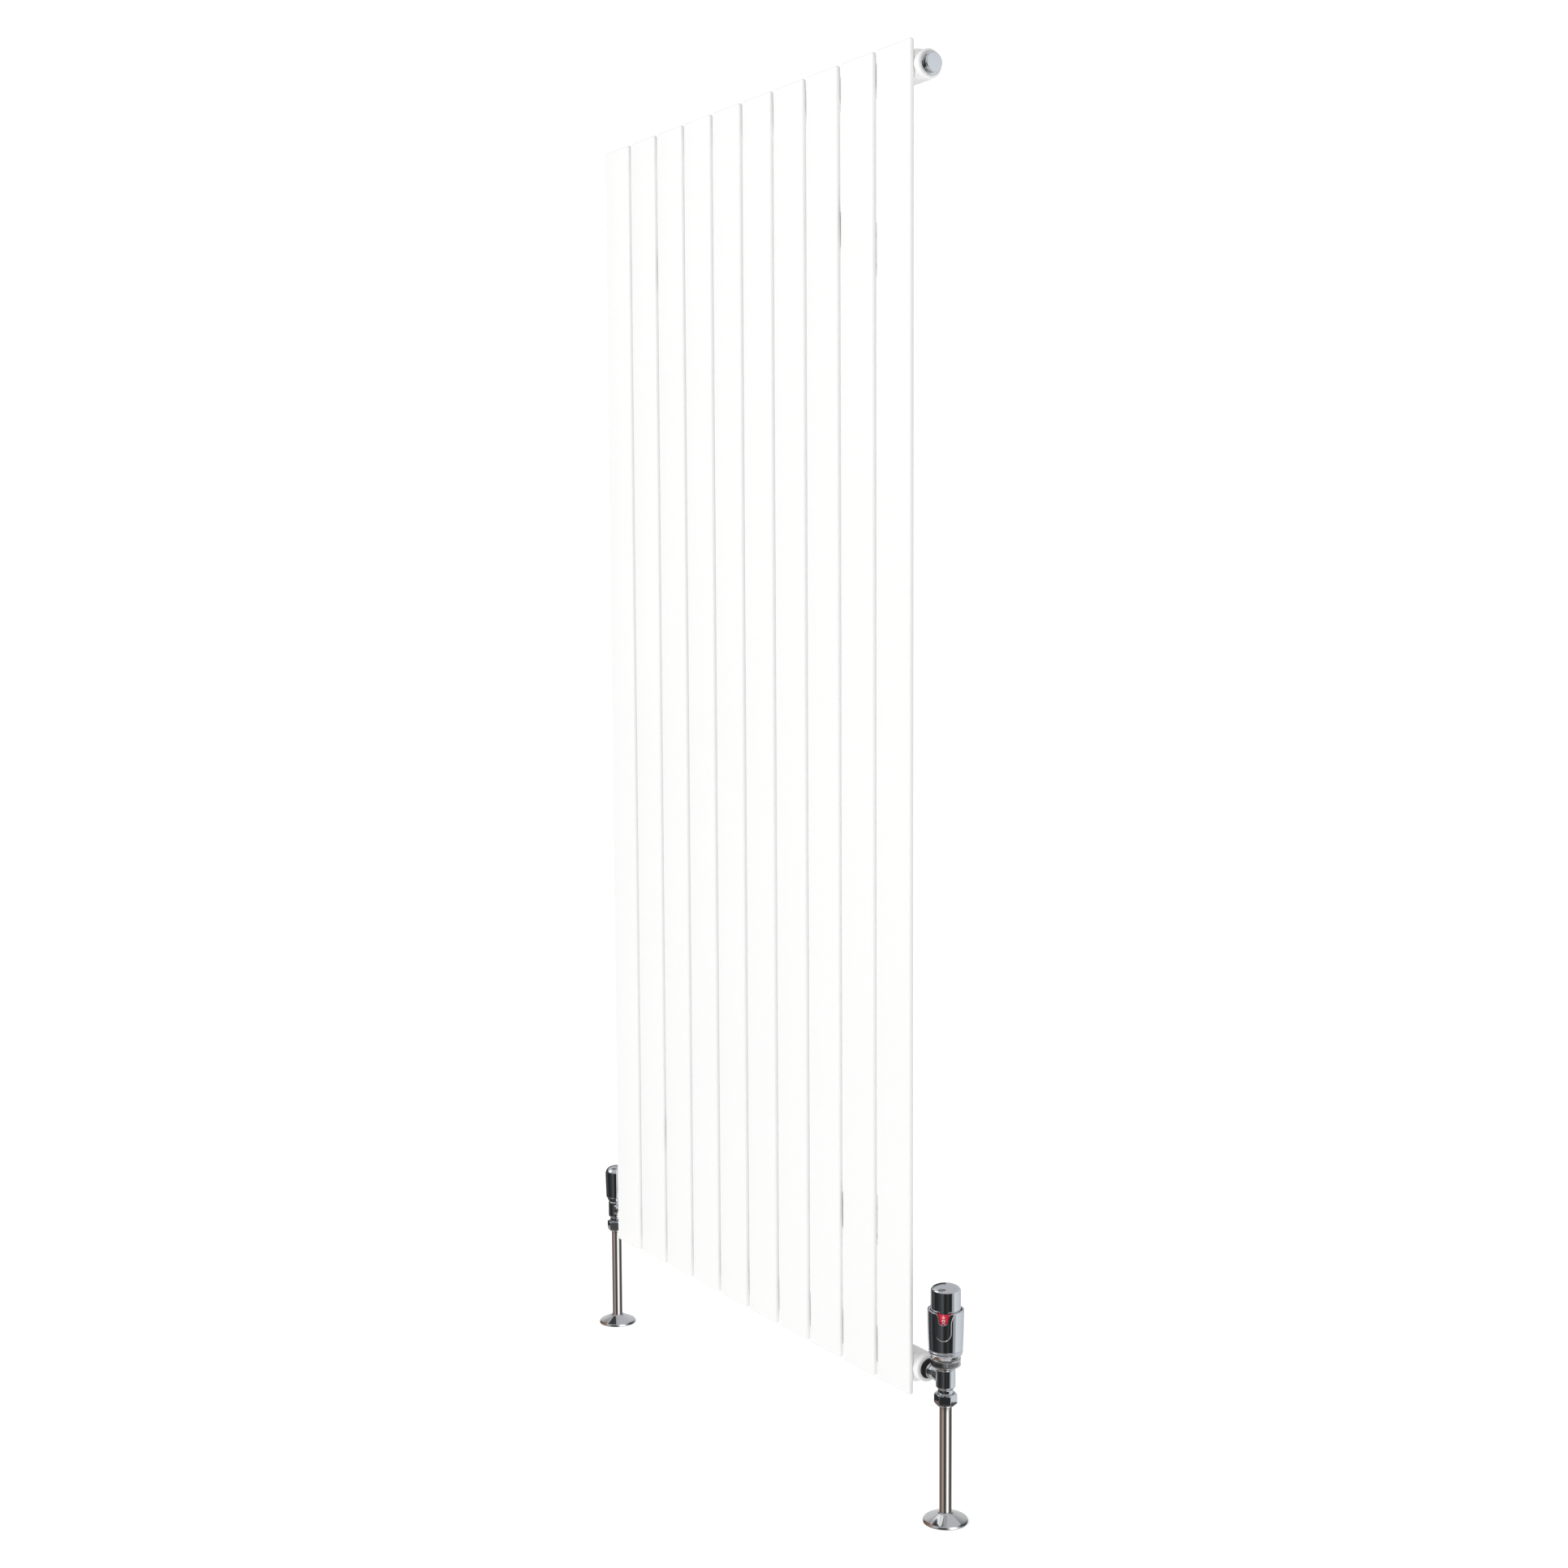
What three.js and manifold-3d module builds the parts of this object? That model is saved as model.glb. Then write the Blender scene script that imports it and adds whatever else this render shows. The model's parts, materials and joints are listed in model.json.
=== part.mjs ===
// Vertical flat-panel radiator with an angled thermostatic valve, an angled lockshield valve and
// their floor pipes. Millimetres, +Z up. The front faces -Y and the wall is the plane y = WALL_Y.
// The origin is the centre of the base of the whole assembly, at floor level.
import * as THREE from "three";
import { mergeVertices } from "three/addons/utils/BufferGeometryUtils.js";
import Module from "manifold-3d";

const wasm = await Module();
wasm.setup();

// ---- Driving dimensions ----
const PANEL = { count: 10, width: 70, gap: 6, height: 1600, thick: 6, edge: 2.7, end: 2, wall: 1.2 };
const RAD_BOTTOM = 145; // floor to the bottom of the panels
const PORT_INSET = { bottom: 33, top: 29 }; // ends of the panels to the axes of the headers
const WALL_Y = 35;
const PIPE_Y = -7.5; // axis of headers, valves and pipes
const PANEL_BACK_Y = -22.5;
const HEADER = { tall: 34, deep: 30, overhang: 0.3, wall: 2, frontCorner: 3, backCorner: 13 };
const BOSS = { radius: 17, length: 9.5, bore: 10.5, edge: 2.5 }; // half-inch tapping
const LUG = { x: 228, inset: 170, tall: 40, thick: 2.5 };
const PIPE = { radius: 7.5, wall: 0.7 };
const COLLAR = { radius: 27.5, tall: 12.5, bore: 7.9, rim: 1.8, wall: 1.2 };
const VALVE_X = 421; // pipe centres are twice this apart
const NUT = { flats: 24.5, bottom: -34, top: -19.5 }; // heights from the port axis
const BODY = { radius: 11.7, bottom: -11.5, top: 11, seat: -5, bore: 8.9 };
const HANDLE_TURNED_TO = -45; // direction that the dial window faces, in degrees from +X
const GAP = 0.3; // clearance between pieces that touch on curved faces
const ROUND = 16; // sides of a turned piece
const FINE = 24; // sides of a large turned piece

const panelPitch = PANEL.width + PANEL.gap;
const radWidth = PANEL.count * panelPitch - PANEL.gap;
const radTop = RAD_BOTTOM + PANEL.height;
const portLow = RAD_BOTTOM + PORT_INSET.bottom;
const portHigh = radTop - PORT_INSET.top;
const headerEnd = radWidth / 2 + HEADER.overhang;
const bossFace = headerEnd + BOSS.length;
const bossReach = VALVE_X - bossFace; // from a valve's axis to the face of the boss beside it

// ---- Materials ----
const finish = (color, roughness, metalness) =>
  new THREE.MeshStandardMaterial({ color, roughness, metalness });
const materials = {
  paint: finish(0xf7f8f8, 0.35, 0),
  chrome: finish(0xd5d9de, 0.08, 1),
  satin: finish(0xb4b0ab, 0.28, 1),
  brass: finish(0xc2a05a, 0.3, 1),
  steel: finish(0xa9adb0, 0.3, 1),
  rubber: finish(0x17181a, 0.7, 0),
  red: finish(0xc4122c, 0.4, 0),
  plastic: finish(0xe6e7e8, 0.5, 0),
};

// ---- Making solids ----
function solid(geometry) {
  const bare = geometry.clone();
  bare.deleteAttribute("normal");
  bare.deleteAttribute("uv");
  const merged = mergeVertices(bare, 1e-3);
  return new wasm.Manifold(
    new wasm.Mesh({
      numProp: 3,
      vertProperties: merged.attributes.position.array,
      triVerts: new Uint32Array(merged.index.array),
    }),
  );
}

function geometryOf(made) {
  const mesh = made.getMesh();
  const geometry = new THREE.BufferGeometry();
  geometry.setAttribute("position", new THREE.BufferAttribute(new Float32Array(mesh.vertProperties), 3));
  geometry.setIndex(new THREE.BufferAttribute(new Uint32Array(mesh.triVerts), 1));
  geometry.computeVertexNormals();
  return geometry;
}

// A profile of [radius, height] points, anticlockwise, turned about Z.
function turned(profile, sides = ROUND) {
  const points = profile.map(([r, z]) => new THREE.Vector2(r, z));
  return new THREE.LatheGeometry(points, sides).rotateX(Math.PI / 2);
}

const ringProfile = (inner, outer, low, high) => [
  [inner, low],
  [outer, low],
  [outer, high],
  [inner, high],
  [inner, low],
];
const rodProfile = (radius, low, high) => [
  [0, low],
  [radius, low],
  [radius, high],
  [0, high],
];
const ring = (inner, outer, low, high, sides) => solid(turned(ringProfile(inner, outer, low, high), sides));
const rod = (radius, low, high, sides) => solid(turned(rodProfile(radius, low, high), sides));
const slab = (x0, x1, y0, y1, z0, z1) =>
  solid(new THREE.BoxGeometry(x1 - x0, y1 - y0, z1 - z0).translate((x0 + x1) / 2, (y0 + y1) / 2, (z0 + z1) / 2));

// An outline in X and Y carried up Z from low to high.
const extruded = (shape, low, high, curveSegments = 4) =>
  new THREE.ExtrudeGeometry(shape, { depth: high - low, bevelEnabled: false, curveSegments }).translate(0, 0, low);

// Points round an arc, for the rounded stretches of a turned profile.
function arc(cr, cz, radius, fromDegrees, toDegrees, steps) {
  const from = THREE.MathUtils.degToRad(fromDegrees);
  const sweep = THREE.MathUtils.degToRad(toDegrees) - from;
  return Array.from({ length: steps + 1 }, (_, i) => {
    const a = from + (sweep * i) / steps;
    return [cr + radius * Math.cos(a), cz + radius * Math.sin(a)];
  });
}

function hexagon(flats, low, high) {
  const corner = flats / Math.sqrt(3);
  const shape = new THREE.Shape(
    Array.from({ length: 6 }, (_, i) => {
      const a = (i * Math.PI) / 3;
      return new THREE.Vector2(corner * Math.cos(a), corner * Math.sin(a));
    }),
  );
  return solid(extruded(shape, low, high));
}

// A hexagon with its corners turned off at both ends, as a nut has.
function nutBlank(flats, low, high) {
  const corner = flats / Math.sqrt(3);
  const crown = flats / 2 + 0.1;
  const turnedOff = [[0, low], [crown, low], [corner + 0.2, low + 1.6]];
  turnedOff.push([corner + 0.2, high - 1.6], [crown, high], [0, high]);
  return hexagon(flats, low, high).intersect(solid(turned(turnedOff)));
}

// A turned piece laid along X, pointing to +X; its height becomes distance along X.
const alongX = (geometryOrSolid) => geometryOrSolid.rotate([0, 90, 0]);

// ---- Placing pieces ----
const radiator = new THREE.Group();

function piece(parent, name, made, material, position = [0, 0, 0], turn = 0) {
  const mesh = new THREE.Mesh(made.isBufferGeometry ? made : geometryOf(made), material);
  mesh.name = name;
  mesh.position.set(...position);
  mesh.rotation.z = THREE.MathUtils.degToRad(turn);
  parent.add(mesh);
  return mesh;
}

function groupAt(x, y, z, turn = 0) {
  const group = new THREE.Group();
  group.position.set(x, y, z);
  group.rotation.z = turn;
  radiator.add(group);
  return group;
}

// ---- Radiator ----
function roundedRectangle(width, depth, corner) {
  const x = width / 2 - corner;
  const y = depth / 2 - corner;
  const shape = new THREE.Shape();
  shape.absarc(x, y, corner, 0, Math.PI / 2);
  shape.absarc(-x, y, corner, Math.PI / 2, Math.PI);
  shape.absarc(-x, -y, corner, Math.PI, 1.5 * Math.PI);
  shape.absarc(x, -y, corner, 1.5 * Math.PI, 2 * Math.PI);
  return shape;
}

// A flat tube closed at both ends, with a port in its back at each header.
function panel() {
  const outline = roundedRectangle(PANEL.width, PANEL.thick, PANEL.edge);
  const outer = new THREE.ExtrudeGeometry(outline, {
    depth: PANEL.height - 2 * PANEL.end,
    bevelThickness: PANEL.end,
    bevelSize: PANEL.end,
    bevelOffset: -PANEL.end,
    bevelSegments: 2,
    curveSegments: 2,
  }).translate(0, 0, PANEL.end);
  const hollow = roundedRectangle(PANEL.width - 2 * PANEL.wall, PANEL.thick - 2 * PANEL.wall, 1.4);
  let made = solid(outer).subtract(solid(extruded(hollow, PANEL.end, PANEL.height - PANEL.end, 2)));
  for (const z of [PORT_INSET.bottom, PANEL.height - PORT_INSET.top]) {
    made = made.subtract(slab(-15, 15, 0, PANEL.thick, z - 8, z + 8));
  }
  return made;
}

function addPanels() {
  const made = panel();
  for (let i = 0; i < PANEL.count; i++) {
    const name = `panel_${String(i + 1).padStart(2, "0")}`;
    const x = -radWidth / 2 + PANEL.width / 2 + i * panelPitch;
    piece(radiator, name, made, materials.paint, [x, PANEL_BACK_Y - PANEL.thick / 2, RAD_BOTTOM]);
  }
}

// A D-shaped outline in Y and Z, flat against the panels; inset makes the hollow inside it.
function headerOutline(inset) {
  const half = HEADER.tall / 2 - inset;
  const front = -HEADER.deep / 2 + inset;
  const back = HEADER.deep / 2 - inset;
  const small = HEADER.frontCorner - inset / 2;
  const large = HEADER.backCorner - inset;
  const shape = new THREE.Shape();
  shape.absarc(back - large, half - large, large, 0, Math.PI / 2);
  shape.absarc(front + small, half - small, small, Math.PI / 2, Math.PI);
  shape.absarc(front + small, -half + small, small, Math.PI, 1.5 * Math.PI);
  shape.absarc(back - large, -half + large, large, 1.5 * Math.PI, 2 * Math.PI);
  return shape;
}

// Turns an extrusion of (Y, Z) outlines so that it runs along X.
const runAlongX = (geometry) =>
  geometry.applyMatrix4(new THREE.Matrix4().set(0, 0, 1, 0, 1, 0, 0, 0, 0, 1, 0, 0, 0, 0, 0, 1));

function header() {
  const tube = solid(runAlongX(extruded(headerOutline(0), -headerEnd, headerEnd, 4)));
  let made = tube.subtract(solid(runAlongX(extruded(headerOutline(HEADER.wall), -headerEnd - 1, headerEnd + 1, 4))));
  for (let i = 0; i < PANEL.count; i++) {
    const x = -radWidth / 2 + PANEL.width / 2 + i * panelPitch;
    made = made.subtract(slab(x - 15, x + 15, -HEADER.deep, 0, -8, 8));
  }
  return made;
}

// The tapped end of a header, its outer corner rounded; it points to +X from x = 0.
function boss() {
  const { radius, length, bore, edge } = BOSS;
  const profile = [[bore, 0], [radius, 0], ...arc(radius - edge, length - edge, edge, 0, 90, 3)];
  profile.push([bore + 0.9, length], [bore, length - 0.9], [bore, 0]);
  return alongX(solid(turned(profile, FINE)));
}

function addHeaders() {
  const madeHeader = header();
  const madeBoss = boss();
  for (const [level, z] of [["bottom", portLow], ["top", portHigh]]) {
    piece(radiator, `header_${level}`, madeHeader, materials.paint, [0, PIPE_Y, z]);
    piece(radiator, `boss_${level}_right`, madeBoss, materials.paint, [headerEnd, PIPE_Y, z]);
    piece(radiator, `boss_${level}_left`, madeBoss, materials.paint, [-headerEnd, PIPE_Y, z], 180);
  }
}

// Half-inch plug: threaded spigot, flange, hexagon and, on the blank one, a plain round face.
const plugSpigot = () => rod(BOSS.bore - GAP, -9.5, 1.2);
const plugFlange = () => rod(13.4, 1.2, 2.6, FINE);
const plugHexagon = (top) => nutBlank(19.5, 2.4, top);

function blankingPlug() {
  const face = [[0, 5], [10.4, 5], [11.2, 5.6], [11.2, 7.1], ...arc(10.5, 7.1, 0.7, 0, 90, 2), [0, 7.8]];
  return alongX(plugSpigot().add(plugFlange()).add(plugHexagon(5.4)).add(solid(turned(face, FINE))));
}

function ventPlug() {
  const passage = rod(3.1, -10, 2.2).add(rod(5, 2, 10));
  return alongX(plugSpigot().add(plugFlange()).add(plugHexagon(8)).subtract(passage));
}

function bleedScrew() {
  const stem = rod(2.8, -6, 2.3, 12);
  const square = slab(-2.5, 2.5, -2.5, 2.5, 2, 7.5);
  return alongX(stem.add(square));
}

const plugSeal = () => alongX(ring(BOSS.bore + 0.05, 12.2, 0, 1));

function addPlugs() {
  const sealed = (name, z, side) => {
    const x = side * bossFace;
    const turn = side > 0 ? 0 : 180;
    piece(radiator, `${name}_seal`, plugSeal(), materials.rubber, [x, PIPE_Y, z], turn);
    return [x, turn];
  };
  const [right] = sealed("blanking_plug", portHigh, 1);
  piece(radiator, "blanking_plug", blankingPlug(), materials.chrome, [right, PIPE_Y, portHigh]);
  const [left, turn] = sealed("vent_plug", portHigh, -1);
  piece(radiator, "vent_plug", ventPlug(), materials.chrome, [left, PIPE_Y, portHigh], turn);
  piece(radiator, "bleed_screw", bleedScrew(), materials.brass, [left, PIPE_Y, portHigh], turn);
}

// ---- Wall fixings ----
// A hat-section strap welded across two panels; the wall bracket's tongue goes up behind its web.
function hangingLug() {
  const t = LUG.thick;
  const web = 9; // depth of the pocket in front of the web
  const outline = [[-32, 0], [-15, 0], [-15, web], [15, web], [15, 0], [32, 0], [32, t], [15 + t, t]];
  outline.push([15 + t, web + t], [-15 - t, web + t], [-15 - t, t], [-32, t]);
  const shape = new THREE.Shape(outline.map(([x, y]) => new THREE.Vector2(x, y)));
  return extruded(shape, 0, LUG.tall);
}

// A folded and painted hook on a drilled wall plate; y = 0 is the plate's wall face.
function wallBracket() {
  const reach = PANEL_BACK_Y - WALL_Y + 2; // the tongue's front face
  const t = 4;
  const side = [[0, -34], [0, 30], [-3, 30], [-3, 0], [reach + t + 0.5, 0], [reach + t, 0.5]];
  side.push([reach + t, 24], [reach + 1, 26], [reach, 25], [reach, -2], [reach + 2, -t], [-3, -t], [-3, -34]);
  const shape = new THREE.Shape(side.map(([y, z]) => new THREE.Vector2(y, z)).reverse());
  const hook = solid(runAlongX(extruded(shape, -12, 12)));
  const plate = slab(-22, 22, -3, 0, -34, 30);
  const holes = [15, -22].map((z) => rod(3.3, -10, 10, 16).rotate([90, 0, 0]).translate([0, 0, z]));
  return hook.add(plate).subtract(holes[0]).subtract(holes[1]);
}

function addWallFixings() {
  const levels = [["bottom", RAD_BOTTOM + LUG.inset], ["top", radTop - LUG.inset - LUG.tall]];
  for (const [level, z] of levels) {
    for (const [side, x] of [["left", -LUG.x], ["right", LUG.x]]) {
      piece(radiator, `hanging_lug_${level}_${side}`, hangingLug(), materials.paint, [x, PANEL_BACK_Y, z]);
      piece(radiator, `wall_bracket_${level}_${side}`, wallBracket(), materials.paint, [x, WALL_Y, z - GAP]);
    }
  }
}

// ---- Valves: heights are from the port axis, and the radiator is towards -X ----
const floorLevel = -portLow;
const tailReach = bossReach - 19; // from the side socket's end to the boss

function valveBody() {
  const { radius, bottom, top, seat, bore } = BODY;
  const trunk = [[0, -27], [9, -27], [9.5, -26.5], [9.5, bottom - 1.5], [radius - 1, bottom]];
  trunk.push([radius, bottom + 1], [radius, top - 0.8], [radius - 0.8, top], [10.4, top + 0.3]);
  trunk.push([10.4, 14], [0, 14]);
  const side = [[0, 0], [10, 0], [10, 16], [9.2, 18], [9.2, 19], [0, 19]];
  const inletAndSeat = rod(PIPE.radius + GAP, -30, -17.5).add(rod(5, -18, seat + 1));
  return solid(turned(trunk, FINE))
    .add(solid(turned(side)).rotate([0, -90, 0]))
    .subtract(inletAndSeat)
    .subtract(rod(bore, seat, 20))
    .subtract(rod(5.5, 0, 25).rotate([0, -90, 0]));
}

// The threaded tail between the body and the boss, with a bead half way.
function valveTail() {
  const end = 19 + tailReach;
  const bead = 19 + tailReach * 0.42;
  const outer = [[5.5, 19 + GAP], [8.6, 19 + GAP], [8.6, bead - 1.8], [10.2, bead - 1], [10.2, bead + 1]];
  outer.push([8.8, bead + 1.8], [8.8, end - 1.4], [BOSS.bore - GAP, end + 0.2]);
  outer.push([BOSS.bore - GAP, end + 9], [5.5, end + 9], [5.5, 19 + GAP]);
  return solid(turned(outer)).rotate([0, -90, 0]);
}

const tailSeal = () => {
  const face = 19 + tailReach;
  const profile = [[8.8 + GAP, face - 1.9], [12, face - 1.7], [12.4, face - 0.1], [10.5, face - 0.1]];
  profile.push([8.8 + GAP, face - 1.7 + 0.1], [8.8 + GAP, face - 1.9]);
  return solid(turned(profile)).rotate([0, -90, 0]);
};

function compressionNut() {
  const { flats, bottom, top } = NUT;
  const mouth = rod(PIPE.radius + GAP, bottom - 1, bottom + 3);
  const thread = rod(9.5 + GAP, bottom + 2.7, top + 1);
  return nutBlank(flats, bottom, top).subtract(mouth).subtract(thread);
}

function olive() {
  const inner = PIPE.radius + 0.1;
  return solid(turned([[inner, -30.6], [8.3, -30.6], [9.2, -29], [8.3, -27.3], [inner, -27.3], [inner, -30.6]]));
}

function addValveBottom(group, name) {
  piece(group, `${name}_body`, valveBody(), materials.chrome);
  piece(group, `${name}_tail`, valveTail(), materials.chrome);
  piece(group, `${name}_tail_seal`, tailSeal(), materials.rubber);
  piece(group, `${name}_compression_nut`, compressionNut(), materials.chrome);
  piece(group, `${name}_olive`, olive(), materials.brass);
}

function addPipe(group, side) {
  const { radius, wall } = PIPE;
  piece(group, `pipe_${side}`, ring(radius - wall, radius, floorLevel, -19), materials.satin);
  piece(group, `floor_collar_${side}`, floorCollar(), materials.chrome);
}

// A spun cone that hides the hole in the floor round the pipe.
function floorCollar() {
  const { radius, tall, bore, rim, wall } = COLLAR;
  const outer = [[radius - wall, 0], [radius, 0], ...arc(radius - rim, rim, rim, 0, 60, 2)];
  outer.push([bore + 1.2, tall - 0.8], [bore + 0.6, tall], [bore, tall], [bore, tall - 2]);
  outer.push([radius - 2.6, rim - 0.4], [radius - wall, 0]);
  return solid(turned(outer.map(([r, z]) => [r, z + floorLevel]), FINE));
}

// ---- Thermostatic valve ----
const TRV = {
  threadRadius: 14.8, threadLow: 14.3, threadHigh: 21,
  ringRadius: 18.2, shroudLow: 25, shroudHigh: 84,
  capRadius: 18, capLow: 44, capHigh: 114, lift: 1.85,
  chamberRadius: 5.6, chamberLow: 8, chamberHigh: 19, collarLow: 16.4,
};

// The insert screws into the body; the chamber inside it holds the return spring round the pin.
function trvInsert() {
  const { threadRadius, threadLow, threadHigh, chamberRadius, chamberLow, chamberHigh } = TRV;
  const outer = rod(BODY.bore - GAP, chamberLow - 2, threadLow + 1)
    .add(rod(threadRadius, threadLow, threadHigh, FINE))
    .add(rod(5, threadHigh - 1, threadHigh + 3));
  return outer.subtract(rod(chamberRadius, chamberLow, chamberHigh)).subtract(rod(2.3, 0, 30, 12));
}

// The pin; the spring presses up under its collar.
const trvPin = () => rod(2, -1.2, 26, 12).add(rod(4.9, TRV.collarLow, TRV.collarLow + 1));

// The closing disc: a brass holder; its rubber face is the piece below it.
function trvDisc() {
  const low = BODY.seat + TRV.lift + 2;
  return rod(7, low, low + 1.8).subtract(rod(2.3, -1.2 - GAP, 5, 12));
}

const trvWasher = () => rod(7, BODY.seat + TRV.lift, BODY.seat + TRV.lift + 2 - GAP);

class Helix extends THREE.Curve {
  constructor(radius, low, high, turns) {
    super();
    Object.assign(this, { radius, low, high, turns });
  }
  getPoint(t, target = new THREE.Vector3()) {
    const a = 2 * Math.PI * this.turns * t;
    return target.set(this.radius * Math.cos(a), this.radius * Math.sin(a), this.low + (this.high - this.low) * t);
  }
}

// A coil spring: a round wire carried along a helix.
function spring(radius, wire, low, high, turns) {
  const section = new THREE.Shape(
    Array.from({ length: 6 }, (_, i) => {
      const a = (i * Math.PI) / 3;
      return new THREE.Vector2(wire * Math.cos(a), wire * Math.sin(a));
    }),
  );
  const extrudePath = new Helix(radius, low + wire, high - wire, turns);
  return new THREE.ExtrudeGeometry(section, { extrudePath, steps: turns * 14, bevelEnabled: false });
}

const trvSpring = () => spring(4, 0.45, TRV.chamberLow + GAP, TRV.collarLow - GAP, 4);

function trvRingNut() {
  const { ringRadius, threadRadius, threadLow } = TRV;
  const inner = threadRadius + GAP;
  const profile = [[inner, threadLow + GAP], [ringRadius - 1, threadLow + GAP], [ringRadius, 15.6]];
  profile.push([ringRadius, 23.6], [ringRadius - 0.8, 24.6], [inner, 24.6], [inner, 23.3], [16.7, 23.3]);
  profile.push([16.7, 20.9], [inner, 20.9], [inner, threadLow + GAP]);
  return solid(turned(profile, FINE));
}

function trvHeadBase() {
  const profile = [[5.6, 21.3], [16.4, 21.3], [16.4, 23], [14.8, 23], [14.8, 46], [11.2, 46], [11.2, 24.2]];
  profile.push([5.6, 24.2], [5.6, 21.3]);
  return solid(turned(profile));
}

const WINDOW = { half: 5.6, depth: 14, lip: 8.2, flare: 5 };

// The outline of the dial window: a U that opens and flares at the shroud's top edge.
function windowCutter() {
  const { half, depth, lip, flare } = WINDOW;
  const top = TRV.shroudHigh;
  const centre = top - depth + half;
  const shape = new THREE.Shape();
  shape.moveTo(lip, top + 2);
  shape.lineTo(lip, top);
  shape.quadraticCurveTo(half, top - flare * 0.4, half, top - flare);
  shape.lineTo(half, centre);
  shape.absarc(0, centre, half, 0, -Math.PI, true);
  shape.lineTo(-half, top - flare);
  shape.quadraticCurveTo(-half, top - flare * 0.4, -lip, top);
  shape.lineTo(-lip, top + 2);
  const cutter = runAlongX(extruded(shape, 10, 30, 6));
  return solid(cutter);
}

// The fixed chrome shroud: taper, two turned grooves, a slightly flared barrel and the dial window.
function trvShroud() {
  const { shroudLow: low, shroudHigh: high } = TRV;
  const outer = [[15.1, low], [17.4, low], [18.9, 28.5], [20, 29.5], [20.3, 30.6], [19.5, 31.4], [20.4, 32.2]];
  outer.push([20.5, 34.2], [19.7, 35], [20.6, 35.8], [21.4, 58], [22, high - 0.6], [21.6, high], [18.6, high]);
  outer.push([18.6, high - 1.2], [19.7, high - 1.3], [19.7, 42], [17.6, 40], [17.6, 30], [15.1, 27.8], [15.1, low]);
  return solid(turned(outer, FINE)).subtract(windowCutter());
}

// The sensing capsule: its nose presses the pin, and the handle's screw turns in its socket.
function trvSensor() {
  const capsule = [[0, 26 + GAP], [3, 26 + GAP], [3, 30], [9.4, 30.5], [10.8, 32], [10.8, 64], [9.6, 66]];
  capsule.push([5.5, 66], [5.5, 57], [0, 57]);
  return solid(turned(capsule));
}

// The handle: a domed chrome cap with the drive screw inside it.
function trvCap() {
  const { capRadius: r, capLow: low, capHigh: high } = TRV;
  const shoulder = high - 7;
  const outer = [[16.3, low], [r, low], [r, shoulder - 2.5], ...arc(r - 4, shoulder - 1.6, 4, 15, 75, 3)];
  outer.push([10.5, high - 2.2], [5.5, high - 0.6], [0, high]);
  outer.push([0, 60], [4.9, 60], [4.9, high - 6], [14, shoulder - 1], [16.3, shoulder - 5], [16.3, low]);
  return solid(turned(outer, FINE));
}

const trvDialBand = () => ring(TRV.capRadius + GAP, 19.2, 64, TRV.shroudHigh - 1.6, FINE);

function addThermostaticValve() {
  const group = groupAt(VALVE_X, PIPE_Y, portLow);
  addValveBottom(group, "trv");
  addPipe(group, "right");
  piece(group, "trv_insert", trvInsert(), materials.chrome);
  piece(group, "trv_pin", trvPin(), materials.steel);
  piece(group, "trv_disc", trvDisc(), materials.brass);
  piece(group, "trv_disc_washer", trvWasher(), materials.rubber);
  piece(group, "trv_return_spring", trvSpring(), materials.steel);
  piece(group, "trv_ring_nut", trvRingNut(), materials.satin);
  piece(group, "trv_head_base", trvHeadBase(), materials.plastic);
  piece(group, "trv_shroud", trvShroud(), materials.chrome, [0, 0, 0], HANDLE_TURNED_TO);
  piece(group, "trv_sensor", trvSensor(), materials.plastic);
  piece(group, "trv_cap", trvCap(), materials.chrome);
  piece(group, "trv_dial_band", trvDialBand(), materials.red);
}

// ---- Lockshield valve ----
const LOCK = { capRadius: 16, capLow: 18, capHigh: 66, flange: 13.1, lift: 2.05 };

function lockGland() {
  const outer = rod(BODY.bore - GAP, 5.8, 15)
    .add(rod(LOCK.flange, 14.3, 21, FINE))
    .add(rod(7, 20, 27));
  return outer.subtract(rod(6, 5, 8.3)).subtract(rod(4.2, 8, 30, 16));
}

function lockSpindle() {
  const shaft = rod(3, 0.3, 7, 16).add(rod(5.5, 6.5, 8, 16)).add(rod(3.9, 7.5, 31, 16));
  return shaft.add(slab(-2.6, 2.6, -2.6, 2.6, 30, 38));
}

function lockPlug() {
  const low = BODY.seat + LOCK.lift;
  return rod(7.2, low, 0).add(rod(5, -0.5, low + 7)).subtract(rod(3.3, low + 1, 10, 16));
}

function lockCap() {
  const { capRadius: r, capLow: low, capHigh: high, flange } = LOCK;
  const outer = [[flange + GAP, low], [r - 1.5, low], [r - 1.1, low + 1], [r, high - 11]];
  outer.push(...arc(r - 9, high - 9.4, 9, 15, 75, 4), [4, high - 0.2], [0, high]);
  outer.push([0, high - 2], [5, high - 2.4], [10.5, high - 5], [flange + GAP, high - 10], [flange + GAP, low]);
  return solid(turned(outer, FINE));
}

function addLockshieldValve() {
  const group = groupAt(-VALVE_X, PIPE_Y, portLow, Math.PI);
  addValveBottom(group, "lockshield");
  addPipe(group, "left");
  piece(group, "lockshield_gland", lockGland(), materials.chrome);
  piece(group, "lockshield_spindle", lockSpindle(), materials.brass);
  piece(group, "lockshield_plug", lockPlug(), materials.brass);
  piece(group, "lockshield_cap", lockCap(), materials.chrome);
}

addPanels();
addHeaders();
addPlugs();
addWallFixings();
addThermostaticValve();
addLockshieldValve();

export default radiator;
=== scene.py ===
"""A vertical flat-panel radiator with its thermostatic valve, lockshield valve and floor pipes.

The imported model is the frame. Each operator makes one piece or one group of like pieces in place of
the plain solids, and the last ones finish the hidden pieces and set the studio. Lengths inside the
piece functions are millimetres, and turned pieces are drawn from the axis of the port they stand on.
"""

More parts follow.
